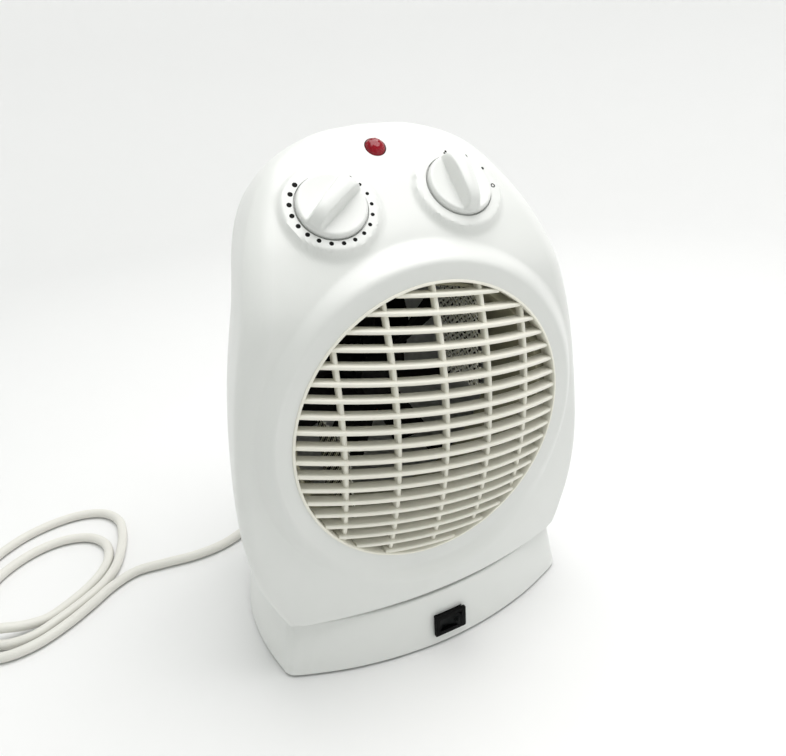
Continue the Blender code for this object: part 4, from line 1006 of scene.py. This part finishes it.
def plug(mat, metal):
    low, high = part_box("plug")
    end, before = Vector(TAIL_ROUTE[-1]), Vector(TAIL_ROUTE[-2])
    aim = Vector(((end - before).x, (end - before).y, 0)).normalized()
    place = axis_frame(end - aim * 0.0030, aim)
    bm = bmesh.new()
    sections = (                 # distance along the plug, half width, half height
        (0.0005, 0.0040, 0.0040), (0.0015, 0.0048, 0.0047), (0.0115, 0.0060, 0.0058),
        (0.0160, 0.0086, 0.0070), (0.0200, 0.0125, 0.0088), (0.0250, 0.0160, 0.0104),
        (0.0300, 0.0172, 0.0110), (0.0370, 0.0174, 0.0111), (0.0376, 0.0170, 0.0107),
        (0.0379, 0.0162, 0.0099),
    )
    stations = []
    for (z0, w0, h0), (z1, w1, h1) in zip(sections, sections[1:]):
        for i in range(4):
            t = i / 4
            stations.append((z0 + (z1 - z0) * t, w0 + (w1 - w0) * t, h0 + (h1 - h0) * t))
    stations.append(sections[-1])
    sides = 48
    rings = []
    for z, wide, tall in stations:
        groove = 0.0007 if 0.0020 < z < 0.0115 and int(z / 0.00125) % 2 else 0.0
        ring = []
        for j in range(sides):
            a = 2 * math.pi * j / sides
            c, s = math.cos(a), math.sin(a)
            ring.append(place @ Vector(((wide - groove) * math.copysign(abs(c) ** 0.75, c),
                                        (tall - groove) * math.copysign(abs(s) ** 0.75, s), z)))
        rings.append(ring)
    loft(bm, rings, cap_start=True, cap_end=True)
    body = from_bmesh("plug_body", bm, mat, "base")
    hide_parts("plug")
    bm = bmesh.new()
    for x in (-PIN_X, PIN_X):
        pin = place @ Matrix.Translation((x, 0, 0))
        turned(bm, [(0, 0.0565), (0.0013, 0.0562), (0.0021, 0.0552), (0.0024, 0.0540), (0.0024, 0.0360),
                    (0, 0.0360)], pin, 28)
    pins = from_bmesh("plug_pins", bm, metal, "base")
    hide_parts("plug")
    bm = bmesh.new()
    for x in (-PIN_X, PIN_X):
        pin = place @ Matrix.Translation((x, 0, 0))
        turned(bm, [(0.00242, 0.0480), (0.00246, 0.0478), (0.00246, 0.0378), (0.00242, 0.0378)], pin, 28)
    sleeves = from_bmesh("pin_sleeves", bm, mat, "base")
    return body, pins, sleeves


# ---------------------------------------------------------------- making
def main():
    camera()
    studio()
    white = paint("moulded_white", (0.80, 0.81, 0.79), 0.36, mottle=0.012, grain=1800.0, bump=0.10)
    grille_white = paint("grille_white", (0.91, 0.89, 0.80), 0.38, mottle=0.02, grain=1800.0, bump=0.08)
    # the switch's own black, also used as painted shade on the black pieces and inner parts that stand for the
    # shade inside
    black = paint("switch_black_and_shade", (0.002, 0.002, 0.002), 0.55, mottle=0.2, grain=2600.0, bump=0.1,
                  fixed={"Specular IOR Level": 0.08})
    gloss_black = paint("rocker_black", (0.002, 0.003, 0.003), 0.40, mottle=0.2, grain=2200.0, bump=0.05,
                        fixed={"Specular IOR Level": 0.12})
    ink = paint("dial_ink", (0.004, 0.004, 0.004), 0.6, mottle=0.2, fixed={"Specular IOR Level": 0.1})
    # painted shade: a near-black colour for the inner parts seen through the grille and gaps, for the shade
    # inside the heater
    grey = paint("interior_shade_black", (0.005, 0.005, 0.004), 0.6, mottle=0.15, grain=1500.0, bump=0.1,
                 fixed={"Specular IOR Level": 0.15})
    rubber = paint("foot_rubber", (0.02, 0.02, 0.02), 0.8, mottle=0.25, grain=1200.0, bump=0.3)
    steel = paint("bright_steel", (0.58, 0.58, 0.60), 0.32, 1.0, mottle=0.06, grain=2200.0, bump=0.06)
    # dark lamination steel, made darker still as painted shade for the inside of the heater
    dull_steel = paint("lamination_steel_and_shade", (0.045, 0.045, 0.040), 0.6, 0.3, mottle=0.15, grain=2600.0, bump=0.2)
    # painted highlight: the resistance wire is a near-white non-metal, standing in for the glints on the lit wire
    wire = paint("resistance_wire", (0.93, 0.93, 0.88), 0.40, 0.0, mottle=0.06, grain=2200.0)
    mica = paint("mica_board", (0.50, 0.48, 0.35), 0.5, mottle=0.12, grain=600.0, bump=0.2)
    wound = wound_mica_with_gap_shade("wound_mica_with_gap_shade", (0.90, 0.89, 0.76), (0.003, 0.003, 0.002))
    copper = paint("enamelled_copper", (0.45, 0.18, 0.07), 0.35, 0.9, mottle=0.15, grain=1500.0, bump=0.2)
    brass = paint("nickelled_brass", (0.68, 0.62, 0.50), 0.25, 1.0, mottle=0.05, grain=1800.0)
    cord_white = paint("cord_pvc", (0.76, 0.75, 0.70), 0.48, mottle=0.03, grain=1500.0, bump=0.08)
    lens = paint("red_lens", (0.26, 0.003, 0.012), 0.16, mottle=0.5, grain=500.0, rough_spread=0.05,
                 fixed={"Specular IOR Level": 0.35, "Coat Weight": 0.15, "Coat Roughness": 0.08})

    line, points, length = cord(cord_white)
    relief = strain_relief(cord_white)
    plug_pieces = plug(cord_white, brass)
    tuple(points[0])

    shell = front_housing(white)
    rear_housing(white)
    outlet_grille(grille_white)
    element(mica, wound, wire)
    inner_plate_and_shade(black, mica)
    for name, place, pointer in zip(("thermostat_knob", "selector_knob"), knob_places(), (50, 5)):
        knob(name, place, math.radians(pointer), white)
    dial_marks(ink, shell)
    lamp(lens)
    base_cover(white)
    rocker_switch(black, gloss_black)

    finishes = {
        white: ("swivel_plate",),
        grille_white: ("terminal_block",),
        # painted shade: these inner parts are black for the shade inside the heater
        black: ("thrust_ring", "tip_switch", "thermal_cutout", "lamp_holder"),
        # painted shade: these inner parts are near black for the shade inside the heater
        grey: ("bottom_plate", "fan_impeller", "drive_crank", "thermostat", "selector_switch"),
        rubber: tuple(n for n in frame["nodes"] if n.startswith("foot_")),
        steel: ("swing_motor", "drive_arm", "motor_shaft",
                *(n for n in frame["nodes"] if "screw" in n)),
        dull_steel: ("motor_stator", "motor_bracket_front", "motor_bracket_rear"),
        copper: ("motor_coil",),
        lens: ("tip_plunger",),
    }
    for mat, names in finishes.items():
        for name in names:
            slots = frame["nodes"][name].material_slots
            for slot in slots:
                slot.material = mat


main()
